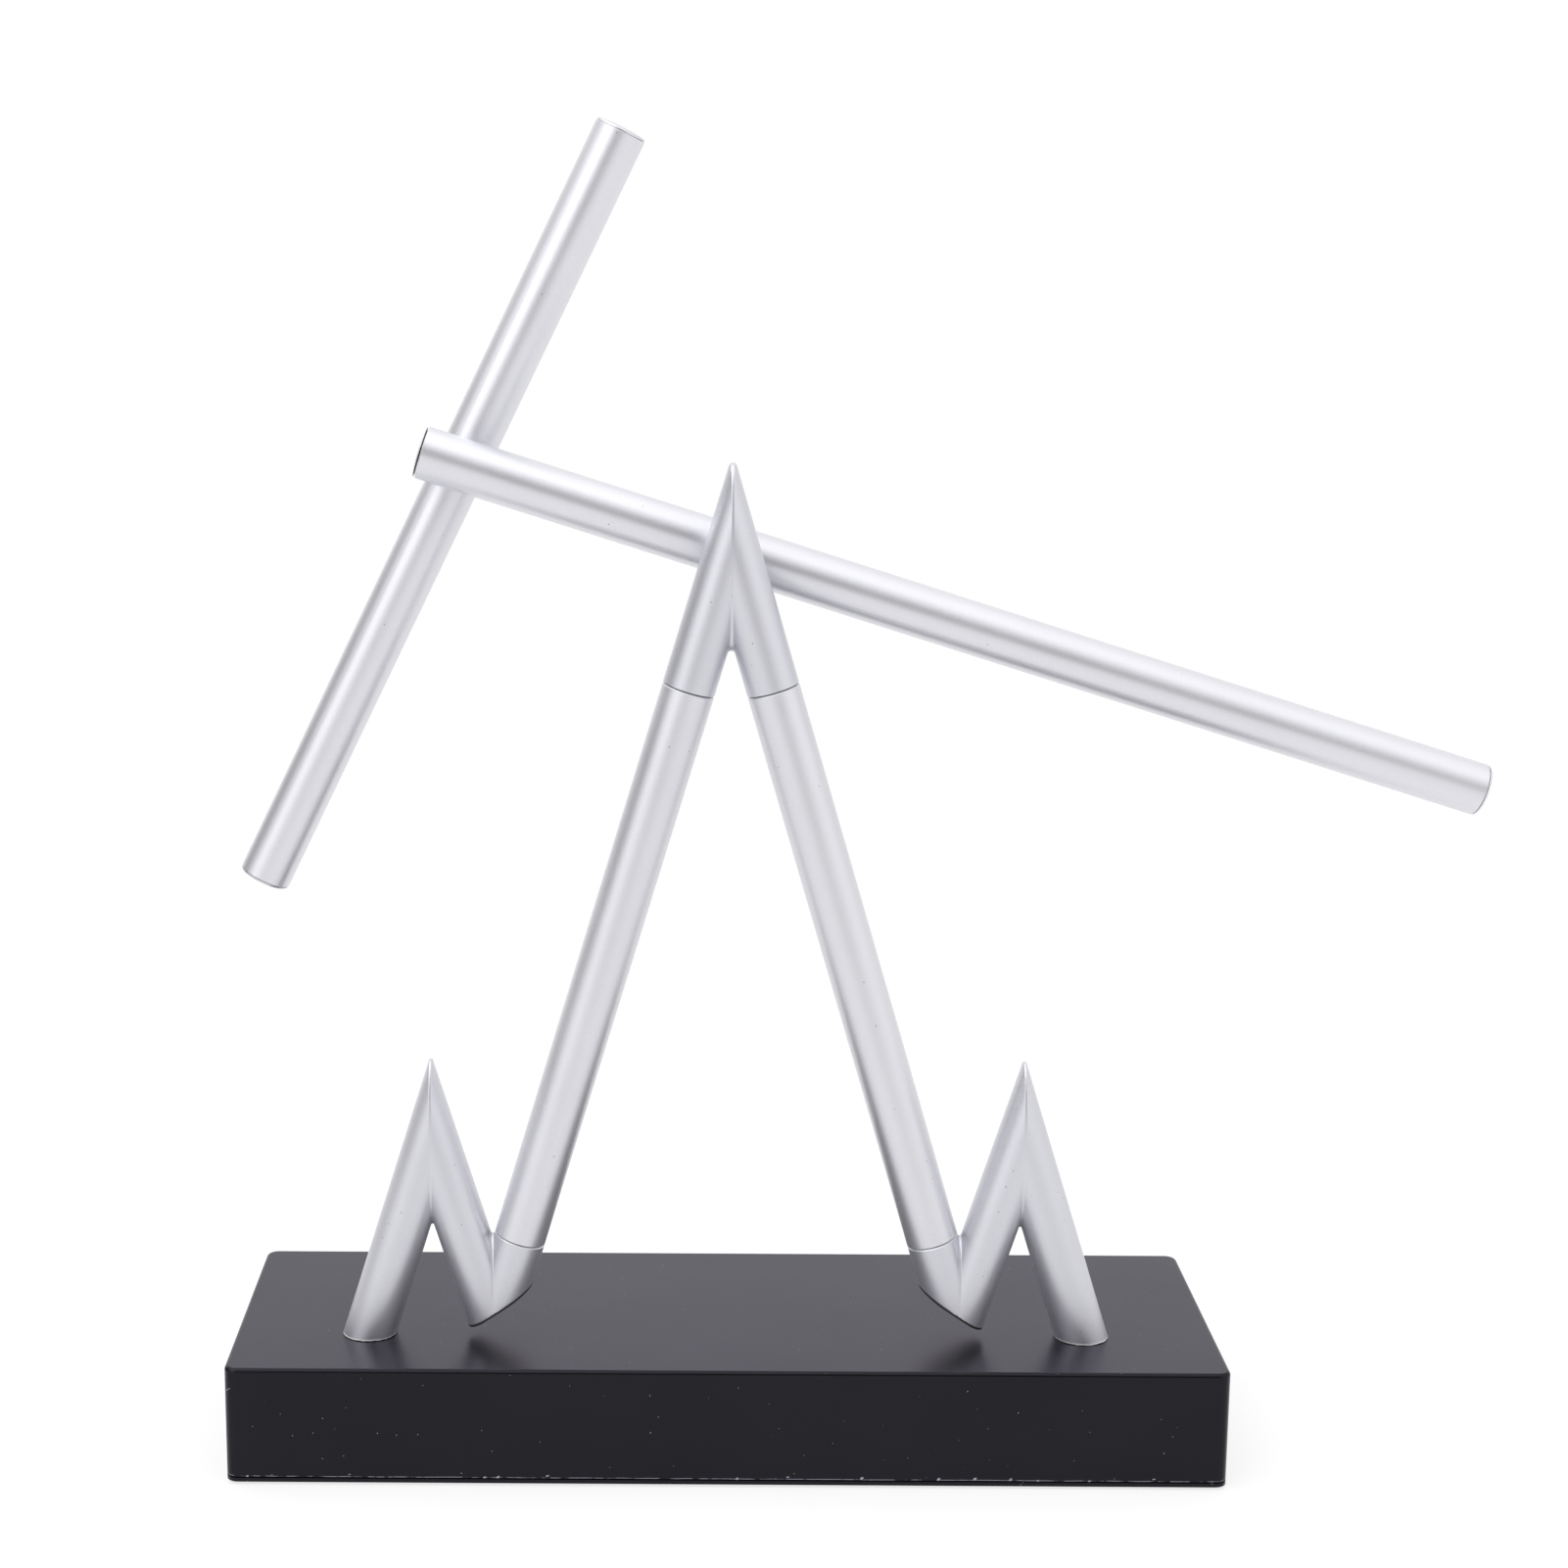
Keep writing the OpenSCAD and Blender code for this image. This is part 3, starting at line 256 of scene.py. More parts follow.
# %% [markdown]
# ## Recipes
#
# A material, and the world too, is a tree of nodes. A `Recipe` holds one such tree. Its first
# method adds any kind of node, and the others are the few kinds that these finishes need, each
# under a plain name. The patterns read Object coordinates, so they stay on their piece when
# the piece moves.

# %% Recipes
# A noise of scale 1 has blots about this far across
NOISE_BLOT = 0.7
UPWARD = (0, 0, 1)


class Recipe:
    """The nodes of one material or world."""

    def __init__(self, owner):
        owner.use_nodes = True
        self.owner = owner
        self.tree = owner.node_tree
        self.tree.nodes.clear()

    def add(self, kind, settings=None, sockets=None):
        """A new node. Its settings are set first, and then its sockets get values or wires."""
        node = self.tree.nodes.new(kind)
        for name, value in (settings or {}).items():
            setattr(node, name, value)
        for name, value in (sockets or {}).items():
            if isinstance(value, Wire):
                self.tree.links.new(value.socket, node.inputs[name])
            else:
                node.inputs[name].default_value = value
        return node

    def node(self, kind, settings=None, sockets=None, out=0):
        """The output of a new node, by its number or name."""
        return Wire(self, self.add(kind, settings, sockets).outputs[out])

    def math(self, operation, *values):
        """A Math node on wires and numbers."""
        return self.node("ShaderNodeMath", dict(operation=operation), dict(enumerate(values)))

    def mix(self, share, first, second):
        """A colour between first and second. The Mix node's factor is socket 0, its colours are
        sockets 6 and 7, and its colour comes out of socket 2."""
        return self.node("ShaderNodeMix", dict(data_type="RGBA"), {0: share, 6: first, 7: second}, 2)

    def place(self):
        """The place on the piece, in its own axes."""
        return self.node("ShaderNodeTexCoord", out="Object")

    def facing(self):
        """The surface's normal, in the piece's own axes."""
        return self.node("ShaderNodeTexCoord", out="Normal")

    def gap(self):
        """The piece's own gap attribute, which the silver finishes darken as painted shade: 0 on an
        open surface and 1 deep in a gap or just over a cut.
        """
        return self.node("ShaderNodeAttribute", dict(attribute_name="gap"), out="Fac")

    def along(self, place, direction):
        """How far a place lies along a direction: their dot product."""
        settings = dict(operation="DOT_PRODUCT")
        return self.node("ShaderNodeVectorMath", settings, {0: place, 1: direction}, "Value")

    def noise(self, place, size, detail=2):
        """Soft noise from 0 to 1 whose blots are about size across."""
        sockets = {"Vector": place, "Scale": NOISE_BLOT / size, "Detail": detail}
        return self.node("ShaderNodeTexNoise", sockets=sockets)

    def dots(self, place, spacing, on_box=False):
        """Distance to the nearest of many scattered points, in spacings, and two numbers per
        point. On a box the points lie in a sheet that is sheared through x, y and z, so they
        are as dense on its top as on its front and sides."""
        settings = {}
        if on_box:
            across, up = self.along(place, (1, 0.5, -0.5)), self.along(place, (0, 1, 1))
            place = self.node("ShaderNodeCombineXYZ", sockets={0: across, 1: up})
            settings = dict(voronoi_dimensions="2D")
        cells = self.add("ShaderNodeTexVoronoi", settings, {"Vector": place, "Scale": 1 / spacing})
        colour = Wire(self, cells.outputs["Color"])
        numbers = self.add("ShaderNodeSeparateColor", sockets={0: colour}).outputs
        return [Wire(self, socket) for socket in (cells.outputs["Distance"], numbers[0], numbers[1])]

    def bump(self, height, depth):
        """A normal that follows height, where 1 stands depth over 0."""
        return self.node("ShaderNodeBump", sockets={"Height": height, "Distance": depth, "Strength": 1})

    def output(self, kind, shader):
        """Ends the recipe with that shader."""
        self.add(kind, sockets={"Surface": shader})

    def surface(self, **sockets):
        """Ends a material with a Principled shader and returns the material."""
        named = {name.replace("_", " "): value for name, value in sockets.items()}
        shader = self.node("ShaderNodeBsdfPrincipled", sockets=named)
        self.output("ShaderNodeOutputMaterial", shader)
        return self.owner


def grey(level, blue=0.0):
    """A grey whose blue stands that share over its red and green."""
    return (level, level, level * (1 + blue), 1)


print("a bluish grey:", grey(0.5, 0.1))

# %% [markdown]
# ## Silver
#
# The frame, the sticks and the caps are all silver, but not one silver. The castings have a
# satin coat with a fine grain, a few dark pits and specks, and a bare bright line where they
# meet the base. The tubes are smoother and brighter. Each could have a picture wrapped round
# it, but noise worked out from the place on the piece has no seams and stays sharp close up. A
# silver coat is nearly a metal: it shows its surroundings, softened by its roughness, and a
# small share of it is plain grey paint.

# %% Silver finishes
SILVER_BLUE = 0.055
# A step in a mask that is nearly sharp
CRISP = 0.01
# Broad clouds: their size, and how far they move the coat's level and its roughness
CLOUD_SIZE = 14 * MM
CLOUD_DRIFT = 0.03
CLOUD_ROUGHNESS = 0.04
# The grain: its size, how far it moves the roughness, and how much and how far its brightest
# grains stand out
GRAIN_SIZE = 0.3 * MM
GRAIN_ROUGHNESS = 0.05
BRIGHT_SHARE = 0.2
BRIGHT_LEVEL = 1.25
BRIGHT_FADE = 0.25
# Dark specks: how far apart, how large in spacings, how deep in grains and how dark
SPECK_SPACING = 1.6 * MM
SPECK_LEAST = 0.03
SPECK_SPREAD = 0.05
SPECK_EDGE = 0.03
SPECK_DEPTH = 1.5
SPECK_DARK = 0.85
# Painted shade in the gaps: from which gap share it shows, how fast it grows and how dark,
# and the grey that it and the dark specks take
SHADE_FROM = 0.04
SHADE_FADE = 0.2
SHADE_DARK = 0.97
SPECK_AND_SHADE_LEVEL = 0.02
# How much less like metal the coat is where shade is painted and where it is rubbed
METAL_LOST = 0.6
# The rubbed line and the painted contact shade under it: their tops over the base, how fast
# they fade, the rubbed line's grey, and how wide and how far both wander
RUBBED_TOP = 0.42 * MM
RUBBED_FADE = 0.08 * MM
RUBBED_LEVEL = 0.95
CONTACT_SHADE_TOP = 0.18 * MM
CONTACT_SHADE_FADE = 0.06 * MM
WANDER_SIZE = 1.4 * MM
WANDER_REACH = 0.5 * MM


def foot_lines(recipe, place):
    """Two masks just over the base: the rubbed line, and the painted contact shade under it. Each
    is a threshold of the height plus WANDER_REACH * (noise - 0.5)."""
    wander = recipe.noise(place, WANDER_SIZE, detail=3) - 0.5
    height = recipe.along(place, UPWARD) + WANDER_REACH * wander
    rubbed = height.below(base_top + RUBBED_TOP, RUBBED_FADE)
    return rubbed, height.below(base_top + CONTACT_SHADE_TOP, CONTACT_SHADE_FADE)


def silver(name, level, rough, metallic, grain, specks=0.0, blue=SILVER_BLUE, rubbed_and_shaded_lines=False):
    """A satin silver. Broad noise moves the level and the roughness a little, fine noise is the
    grain, and scattered dots are dark specks. Painted shade darkens the gaps. The rubbed line is a
    lighter band just over the base, with a band of painted contact shade under it."""
    recipe = Recipe(bpy.data.materials.new(name))
    place = recipe.place()
    cloud = recipe.noise(place, CLOUD_SIZE, detail=3)
    fine = recipe.noise(place, GRAIN_SIZE)
    away, chance, size = recipe.dots(place, SPECK_SPACING)
    near_point = away.below(SPECK_LEAST + SPECK_SPREAD * size, SPECK_EDGE)
    speck = near_point * chance.above(1 - specks, CRISP)
    dull, bright = grey(level * (1 - CLOUD_DRIFT), blue), grey(level * (1 + CLOUD_DRIFT), blue)
    bright_grains = BRIGHT_SHARE * (fine - 0.5).above(0, BRIGHT_FADE)
    coat = recipe.mix(bright_grains, recipe.mix(cloud, dull, bright), grey(level * BRIGHT_LEVEL, blue))
    # Painted shade where the gap attribute is high: deep in gaps and just over the V's cut
    painted_shade = recipe.gap().above(SHADE_FROM, SHADE_FADE)
    painted = painted_shade
    if rubbed_and_shaded_lines:
        rubbed, contact_shade = foot_lines(recipe, place)
        coat = recipe.mix(rubbed, coat, grey(RUBBED_LEVEL))
        # Painted contact shade where the casting meets the base
        painted_shade = recipe.math("MAXIMUM", painted_shade, contact_shade)
        painted = painted + rubbed
    # Dark specks and painted shade darken the coat to one dark grey
    dark = recipe.math("MAXIMUM", SPECK_DARK * speck, SHADE_DARK * painted_shade)
    return recipe.surface(
        Base_Color=recipe.mix(dark, coat, grey(SPECK_AND_SHADE_LEVEL)),
        Metallic=metallic - METAL_LOST * painted,
        Roughness=rough + CLOUD_ROUGHNESS * (cloud - 0.5) + GRAIN_ROUGHNESS * (fine - 0.5),
        Normal=recipe.bump(fine - SPECK_DEPTH * speck, grain),
    )


cast_silver = silver(
    "cast_silver", level=0.64, rough=0.4, metallic=0.83, grain=0.006 * MM,
    specks=0.2, blue=0.072, rubbed_and_shaded_lines=True
)
leg_silver = silver("leg_silver", level=0.7, rough=0.4, metallic=0.84, grain=0.0035 * MM, specks=0.1)
stick_silver = silver(
    "stick_silver", level=0.73, rough=0.39, metallic=0.85, grain=0.0008 * MM, specks=0.06
)
cap_silver = silver("cap_silver", level=0.69, rough=0.34, metallic=0.9, grain=0.0008 * MM)
print("silver:", cast_silver.name, leg_silver.name, stick_silver.name, cap_silver.name)

# %% [markdown]
# ## Bent tube castings
#
# The head and the two feet look like one tube cut at an angle and joined again, over and over.
# Modelling software would intersect cylinders, and the sharp seams would need rounding by
# hand. Here the casting is sliced instead. A slice parallel to the picture plane cuts a round
# tube in a strip, and round a bend the strip's two edges turn a corner. So every point of the
# skin lies on a line beside the tube's middle line: w to the side, and y to the back, where
# w and y go round a circle. Each corner of such a line is rounded with a small arc. The arc is
# tight on the front and back, where the real casting shows a thin crisp ridge and valley, and
# it widens quickly towards the tip and the crotch, which are blunt.

# %% Corners of the lines beside the middle line
RIDGE_ROUNDING = 0.3 * MM
ROUNDING_POWER = 8
ARC_STEPS = 17


def side_of(run):
    """The direction to the left of each run: (x, z) turns to (-z, x)."""
    return np.stack([-run[..., 1], run[..., 0]], axis=-1)


def corner_arc(bend, run_in, run_out, w, outer_r, inner_r):
    """Points round the corner of the lines at w beside the middle line: [step, w, 2].
    The line's corner lies at bend + w * (left + left') / (1 + left . left'). The arc's radius
    is RIDGE_ROUNDING plus a share of (w / tube_r) to the power ROUNDING_POWER, so that it
    reaches inner_r on the bend's inside and outer_r on its outside. Its centre stands that
    radius from both lines."""
    left_in, left_out = side_of(run_in), side_of(run_out)
    turn = np.sign(run_in[0] * run_out[1] - run_in[1] * run_out[0])
    angle = acos(float(run_in @ run_out))
    corner = bend + w[:, None] * (left_in + left_out) / (1 + left_in @ left_out)
    blunt_r = np.where(turn * w < 0, outer_r, inner_r)
    radius = RIDGE_ROUNDING + (blunt_r - RIDGE_ROUNDING) * np.abs(w / tube_r) ** ROUNDING_POWER
    start = corner - (radius * tan(angle / 2))[:, None] * run_in
    centre = start + turn * radius[:, None] * left_in
    turned = turn * angle * np.linspace(0, 1, ARC_STEPS)[:, None, None]
    direction = np.cos(turned) * left_in + np.sin(turned) * side_of(left_in)
    return centre - turn * radius[:, None] * direction


print("steps round a corner:", ARC_STEPS)

# %% [markdown]
# ## Straight runs and square ends
#
# Between two corners the skin's lines are straight, so a run only needs its first and its last
# ring and the steps between them. The steps could be even, but they are put closer together
# near both ends, where the light on the seams changes fastest.

# %% Straight runs
RING_POINTS = 128
END_CROWD = 0.35
around = np.linspace(0, 2 * pi, RING_POINTS, endpoint=False)
to_side = tube_r * np.cos(around)
to_back = tube_r * np.sin(around)


def between(first, last, steps, crowd=END_CROWD):
    """Points from first to last: [step, w, 2]. A step that would be at share s of the way is
    moved to s - crowd * sin(2 pi s) / pi, so that the steps lie closer near both ends."""
    share = np.linspace(0, 1, steps + 2)[1:-1, None, None]
    share = share - crowd / pi * np.sin(2 * pi * share)
    return first + share * (last - first)


def square_end(place, run, radius, along):
    """A ring round the middle line, square to run: place + along * run, and radius * cos a to
    the left of it."""
    centre = place + along * run
    return centre + radius / tube_r * to_side[:, None] * side_of(run)


def mirrored(rings):
    """Each ring point moved to the other side of its ring's middle: 2 * middle - point. A
    plug that points against the lines needs it, so that its points meet theirs."""
    return 2 * rings.mean(axis=1, keepdims=True) - rings


def flat_rings(lines, depth_share):
    """Rings [step, point, 3] from lines [step, point, 2]. Their depth is tube_r * sin a, times
    the step's share of it."""
    y = frame_y + depth_share[:, None] * to_back[None, :]
    return np.stack([lines[..., 0], y, lines[..., 1]], axis=-1)


print("points round a casting:", RING_POINTS)

# %% [markdown]
# ## The head
#
# The head is the upside-down V at the top. Its tip is a blunt ridge and its arms end square,
# with a plug that goes into each leg tube. A hair's width stays open between the arm and the
# tube, and that gap is the dark line seen on the real toy. The line could be painted on, but a
# real gap also shows at the outline and from behind. Inside the gap, shade is painted on the
# plug and the shoulder round it.

# %% Head casting
TIP_ROUNDING = 1.0 * MM
CROTCH_ROUNDING = 0.9 * MM
ARM_STEPS = 34
# Gap shares of a plug's rings: painted shade on the plug, fading out across the shoulder
PLUG_GAP = np.array([1.0, 1.0, 1.0, 0.0])


def plug_rings(end, run, edge):
    """A casting's square end, from the plug's tip to the shoulder's bevel, with each ring's
    share of the tube's depth. run points out of the casting, along the tube. The rings' radii
    are 0, plug_r, plug_r and tube_r - edge, the first two spigot_len from the end."""
    sizes = [(spigot_len, 0.0), (spigot_len, plug_r), (0.0, plug_r), (0.0, tube_r - edge)]
    rings = np.stack([square_end(end, run, radius, along) for along, radius in sizes])
    return rings, [radius / tube_r for along, radius in sizes]


def head_rings():
    """The head's rings and their gap shares: up the left arm, round the apex and down the right
    arm, each a straight run at head_len from the apex, with a plug before and after."""
    rise = np.array([sin(leg_lean), cos(leg_lean)])
    fall = rise * [1, -1]
    left_end, right_end = apex - head_len * rise, apex + head_len * fall
    left_plug, shares = plug_rings(left_end, -rise, sharp_edge)
    right_plug, shares = plug_rings(right_end, fall, sharp_edge)
    arc = corner_arc(apex, rise, fall, to_side, TIP_ROUNDING, CROTCH_ROUNDING)
    left_edge = square_end(left_end, rise, tube_r, sharp_edge)
    right_edge = square_end(right_end, fall, tube_r, -sharp_edge)
    lines = np.concatenate([
        left_edge[None], between(left_edge, arc[0], ARM_STEPS),
        arc, between(arc[-1], right_edge, ARM_STEPS), right_edge[None],
    ])
    depth = np.concatenate([shares, np.ones(len(lines)), shares[::-1]])
    rings = flat_rings(np.concatenate([mirrored(left_plug), lines, right_plug[::-1]]), depth)
    in_gap = np.concatenate([PLUG_GAP, np.zeros(len(lines)), PLUG_GAP[::-1]])
    return rings, in_gap[:, None]


head, head_gap = head_rings()
make_piece("head", [head], cast_silver, BODY_OF_BASE, ["head_casting"], head_gap)

# %% [markdown]
# ## The cut under the V
#
# The V's point is cut off on a slope. A Boolean with a big block would do that too, but it
# leaves a knife edge and ragged faces. Here each slice of the V gets the cut by a soft maximum
# of its height and the cut's height, so the edge of the cut comes out a little round, as a
# casting's does.

# %% The cut
CUT_SLOPE = tan(radians(34))
CUT_RISE = 6.3 * MM
CUT_SOFTNESS = 0.35 * MM
CUT_EDGE = 0.8 * MM


def flat_cut(x):
    """Height of the cut: base_top + CUT_RISE at the V's bend, and outwards from there it falls
    by CUT_SLOPE times the way."""
    return base_top + CUT_RISE - CUT_SLOPE * (x - v_bend[0])


def edge_rise(y):
    """How far the cut rises near the casting's front and back: 1 - sqrt(1 - t squared), where t
    goes from 0 to 1 over the last CUT_EDGE, so that the cut's edge is round there too."""
    over_edge = np.clip((np.abs(y - frame_y) - (tube_r - CUT_EDGE)) / CUT_EDGE, 0, 1)
    return CUT_EDGE * (1 - np.sqrt(1 - over_edge ** 2))


def soft_maximum(a, b, softness):
    """The larger of a and b, with a round corner: half of a + b + sqrt((a - b)^2 + softness^2)."""
    return (a + b + np.sqrt((a - b) ** 2 + softness ** 2)) / 2


print("the cut falls by", round(degrees(atan(CUT_SLOPE))), "degrees")

# %% [markdown]
# ## The feet
#
# A foot is the leg's lower stub, the V, the spike and the foot itself, in one casting. The
# slices are the same as the head's, only with two corners. The rings lie close together where
# the cut passes, because its edge has to stay crisp. Shade is painted on the casting just over
# the cut and in the gap under the leg tube, so both get a share of the gap attribute.

# %% Foot castings
V_ROUNDING = 0.6 * MM
V_CROTCH = 0.5 * MM
SPIKE_ROUNDING = 0.45 * MM
SPIKE_CROTCH = 0.4 * MM
FOOT_EDGE = 0.12 * MM
# How far the cut's rings go up the spike, over the V's bend and at least, and how high the
# painted shade reaches over the cut
CUT_TOP = 12 * MM
CUT_LEAST = 3 * MM
CUT_SHADE = 0.95 * MM
# Rings on the stub, where the cut passes the spike, on the rest of the spike and on the foot
STUB_STEPS = 110
CUT_STEPS = 80
SPIKE_STEPS = 40
SPIKE_CROWD = 0.1
FOOT_STEPS = 44


def foot_slices():
    """The lines of a right foot, [step, point, 2], from the seam with the leg tube down the stub,
    round the V, up the spike, round its tip and down to the foot's bevel, with the plug that
    stands before them and the shares of its depth."""
    fall = np.array([sin(leg_lean), -cos(leg_lean)])
    rise = np.array([sin(spike_lean), cos(spike_lean)])
    drop = rise * [1, -1]
    seam = v_bend - stub_len * fall
    plug, shares = plug_rings(seam, -fall, lit_edge)
    edge = square_end(seam, fall, tube_r, lit_edge)
    v_arc = corner_arc(v_bend, fall, rise, to_side, V_ROUNDING, V_CROTCH)
    above_cut = np.maximum((v_bend[1] + CUT_TOP - v_arc[-1][:, 1:]) / rise[1], CUT_LEAST)
    over_cut = v_arc[-1] + above_cut * rise
    tip_arc = corner_arc(spike_bend, rise, drop, to_side, SPIKE_ROUNDING, SPIKE_CROTCH)
    floor_run = (tip_arc[-1][:, 1:] - base_top - FOOT_EDGE) / -drop[1]
    floor_edge = tip_arc[-1] + floor_run * drop
    lines = np.concatenate([
        edge[None], between(edge, v_arc[0], STUB_STEPS, 0), v_arc,
        between(v_arc[-1], over_cut, CUT_STEPS, 0), over_cut[None],
        between(over_cut, tip_arc[0], SPIKE_STEPS, SPIKE_CROWD), tip_arc,
        between(tip_arc[-1], floor_edge, FOOT_STEPS), floor_edge[None],
    ])
    return mirrored(plug), shares, lines


def foot_rings(side):
    """A foot's rings and their gap shares. The sole is the last line, shrunk by the bevel to the
    base's top and then to its middle. Where the cut passes, the height is the soft maximum of
    the line's and the cut's, and the gap share, a painted shade, falls from 1 to 0 over CUT_SHADE."""
    plug, shares, lines = foot_slices()
    shrink = 1 - FOOT_EDGE / tube_r
    outer_sole = foot_end + shrink * (lines[-1] - foot_end)
    outer_sole[:, 1] = base_top
    sole = np.stack([outer_sole, np.broadcast_to(foot_end, outer_sole.shape)])
    depth = np.concatenate([shares, np.ones(len(lines)), [shrink, 0]])
    rings = flat_rings(np.concatenate([plug, lines, sole]), depth)
    cut = slice(len(plug), len(plug) + 1 + STUB_STEPS + ARC_STEPS + CUT_STEPS)
    x, y, z = (rings[cut, :, axis] for axis in range(3))
    rings[cut, :, 2] = soft_maximum(z, flat_cut(x) + edge_rise(y), CUT_SOFTNESS)
    in_gap = np.zeros(rings.shape[:2])
    in_gap[:len(plug)] = PLUG_GAP[:, None]
    # Painted shade on the underside, fading out over CUT_SHADE above the cut
    in_gap[cut] = 1 - np.clip((rings[cut, :, 2] - flat_cut(x)) / CUT_SHADE, 0, 1)
    return rings * [side, 1, 1], in_gap


for name, side in (("left_foot", -1), ("right_foot", 1)):
    foot, foot_gap = foot_rings(side)
    make_piece(name, [foot], cast_silver, BODY_OF_BASE, [name + "_casting"], foot_gap)

# %% [markdown]
# ## Turned pieces
#
# A leg tube, a cap or a rubber pad is what a lathe makes: a profile turned round an axis. The
# Screw modifier turns a profile too, but here the rings are worked out in one formula, so they
# go through the same skin as the castings. The profile is a list of places along the axis with
# a radius at each.

# %% Turning a profile
def unit(vector):
    """The vector divided by its length."""
    return vector / np.linalg.norm(vector)


def turned(profile, start, axis, points=RING_POINTS):
    """Rings from (along, radius) pairs: start + along * axis + radius * (cos a, sin a) across it."""
    axis = unit(np.array(axis, float))
    across = unit(np.cross(axis, [0, 1, 0]) if abs(axis[1]) < 0.9 else np.cross(axis, [1, 0, 0]))
    up = np.cross(axis, across)
    angle = np.linspace(0, 2 * pi, points, endpoint=False)
    circle = np.cos(angle)[:, None] * across + np.sin(angle)[:, None] * up
    along, radius = np.array(profile, float).T
    return np.array(start) + along[:, None, None] * axis + radius[:, None, None] * circle


disc = turned([(0, 0), (0, 1)], [0, 0, 0], UPWARD)
print("a turned disc has", disc.shape[0], "rings of", disc.shape[1], "points")

# %% [markdown]
# ## Leg tubes
#
# Each leg is an open tube pushed over the castings' plugs. A cylinder with a Solidify and a
# Bevel modifier comes close, but its two ends would get the same bevel. Here the upper edge has
# a wider one than the lower, so it catches the light under the dark gap.

# %% Leg tubes
leg_run = unit(apex - v_bend)
leg_from, leg_to = stub_len + seam_gap, leg_len - head_len - seam_gap
# Painted shade on the tube's inner rings at both ends, fading out across its end faces
LEG_GAP = np.array([1.0, 0, 0, 0, 0, 1.0])[:, None]
leg_profile = [
    (leg_from, bore_r), (leg_from, tube_r - sharp_edge), (leg_from + sharp_edge, tube_r),
    (leg_to - lit_edge, tube_r), (leg_to, tube_r - lit_edge), (leg_to, bore_r),
]
leg_start = [v_bend[0], frame_y, v_bend[1]]
for name, side in (("left_leg", -1), ("right_leg", 1)):
    rings = turned(leg_profile, leg_start, [leg_run[0], 0, leg_run[1]])
    make_piece(name, [rings * [side, 1, 1]], leg_silver, BODY_OF_BASE, [name + "_tube"], LEG_GAP)

# %% [markdown]
# ## Stick ends
#
# Each stick ends in a low domed cap. The cap at the raised end of the long stick stands off the
# tube, with a thin dark line before it: a real gap, with shade painted on the plug inside it. The
# other three sit close and round the tube's end off, with a little painted shade on their plugs.
# A cap's edge is a small arc, and its dome is part of a large ball. A squashed sphere would
# do for the dome, but its rim would have no edge, and the edge is what the light picks out.

# %% Caps on the sticks
CAP_HEIGHT = 1.0 * MM
CAP_PLUG = 4 * MM
CAP_RIM_STEPS = 12
CAP_DOME_STEPS = 40
# How far each stick leans, and how long it is on either side of its pivot
long_tilt = radians(17.5)
short_tilt = radians(26)
long_outer_arm = 189.2 * MM
long_inner_arm = 76.5 * MM
short_upper_arm = 85.8 * MM
short_lower_arm = 114.7 * MM


def cap_profile(gap, inset, rounding, painted_shade):
    """Plug, gap, rim and dome, and each ring's gap share: painted_shade, the share of painted shade,
    on the plug and 0 on the rest. The rim is an arc of that rounding, and over it the dome rises to
    CAP_HEIGHT as 1 - (radius / rim radius) squared, which is a ball's form for so low a rise."""
    rim_r = tube_r - inset
    edge_r = rim_r - rounding
    turn = np.linspace(0, pi / 2, CAP_RIM_STEPS)
    rim = np.stack([gap + rounding * np.sin(turn), edge_r + rounding * np.cos(turn)], -1)
    radius = np.linspace(edge_r, 0, CAP_DOME_STEPS)[1:]
    rise = CAP_HEIGHT - gap - rounding
    dome = np.stack([gap + rounding + rise * (1 - (radius / edge_r) ** 2), radius], -1)
    plug = [(-CAP_PLUG, 0.0), (-CAP_PLUG, plug_r), (gap, plug_r)]
    in_gap = np.zeros(len(plug) + len(rim) + len(dome))
    in_gap[:len(plug)] = painted_shade
    return np.vstack([plug, rim, dome]), in_gap[:, None]


long_run = np.array([cos(long_tilt), 0, -sin(long_tilt)])
short_run = np.array([sin(short_tilt), 0, cos(short_tilt)])
# painted_shade: how much painted shade the cap's plug gets in its gap
raised_cap = cap_profile(gap=0.38 * MM, inset=0.25 * MM, rounding=0.12 * MM, painted_shade=1.0)
close_cap = cap_profile(gap=0.07 * MM, inset=0.12 * MM, rounding=0.58 * MM, painted_shade=0.1)
stick_ends = {
    "magnet_end_cap": (main_pivot, long_run, long_outer_arm, "long_stick", close_cap),
    "long_end_cap": (main_pivot, -long_run, long_inner_arm, "long_stick", raised_cap),
    "short_upper_cap": (second_pivot, short_run, short_upper_arm, "short_stick", close_cap),
    "short_lower_cap": (second_pivot, -short_run, short_lower_arm, "short_stick", close_cap),
}
for node, (pivot, run, arm, body, (profile, in_gap)) in stick_ends.items():
    rings = turned(profile, pivot + arm * run, run)
    make_piece(node.replace("_cap", "_dome"), [rings], cap_silver, body, [node], in_gap)

# %% [markdown]
# ## Black
#
# The base is black and smooth but not shiny, with a little pale dust and a worn light line
# along its lower edge, and its top gets a lighter violet colour, a painted sheen. A plain black
# would look like a hole in the picture: what makes it a surface are the clouds in its shine, the
# dust and the wear. The rubber pads under it have the same kind of finish, only rougher and
# without the wear or the painted sheen.

# %% Black finishes
BLACK_BLUE = 0.2
# Broad clouds and the grain: their sizes, and how far they move the level and the roughness
BLACK_CLOUD = 22 * MM
BLACK_DRIFT = 0.1
BLACK_CLOUD_ROUGHNESS = 0.08
BLACK_GRAIN = 0.5 * MM
BLACK_GRAIN_ROUGHNESS = 0.06
# Dust: how far apart its places are, its size in spacings, and its grey
DUST_SPACING = 5 * MM
DUST_LEAST = 0.008
DUST_SPREAD = 0.01
DUST_LEVEL = 0.5
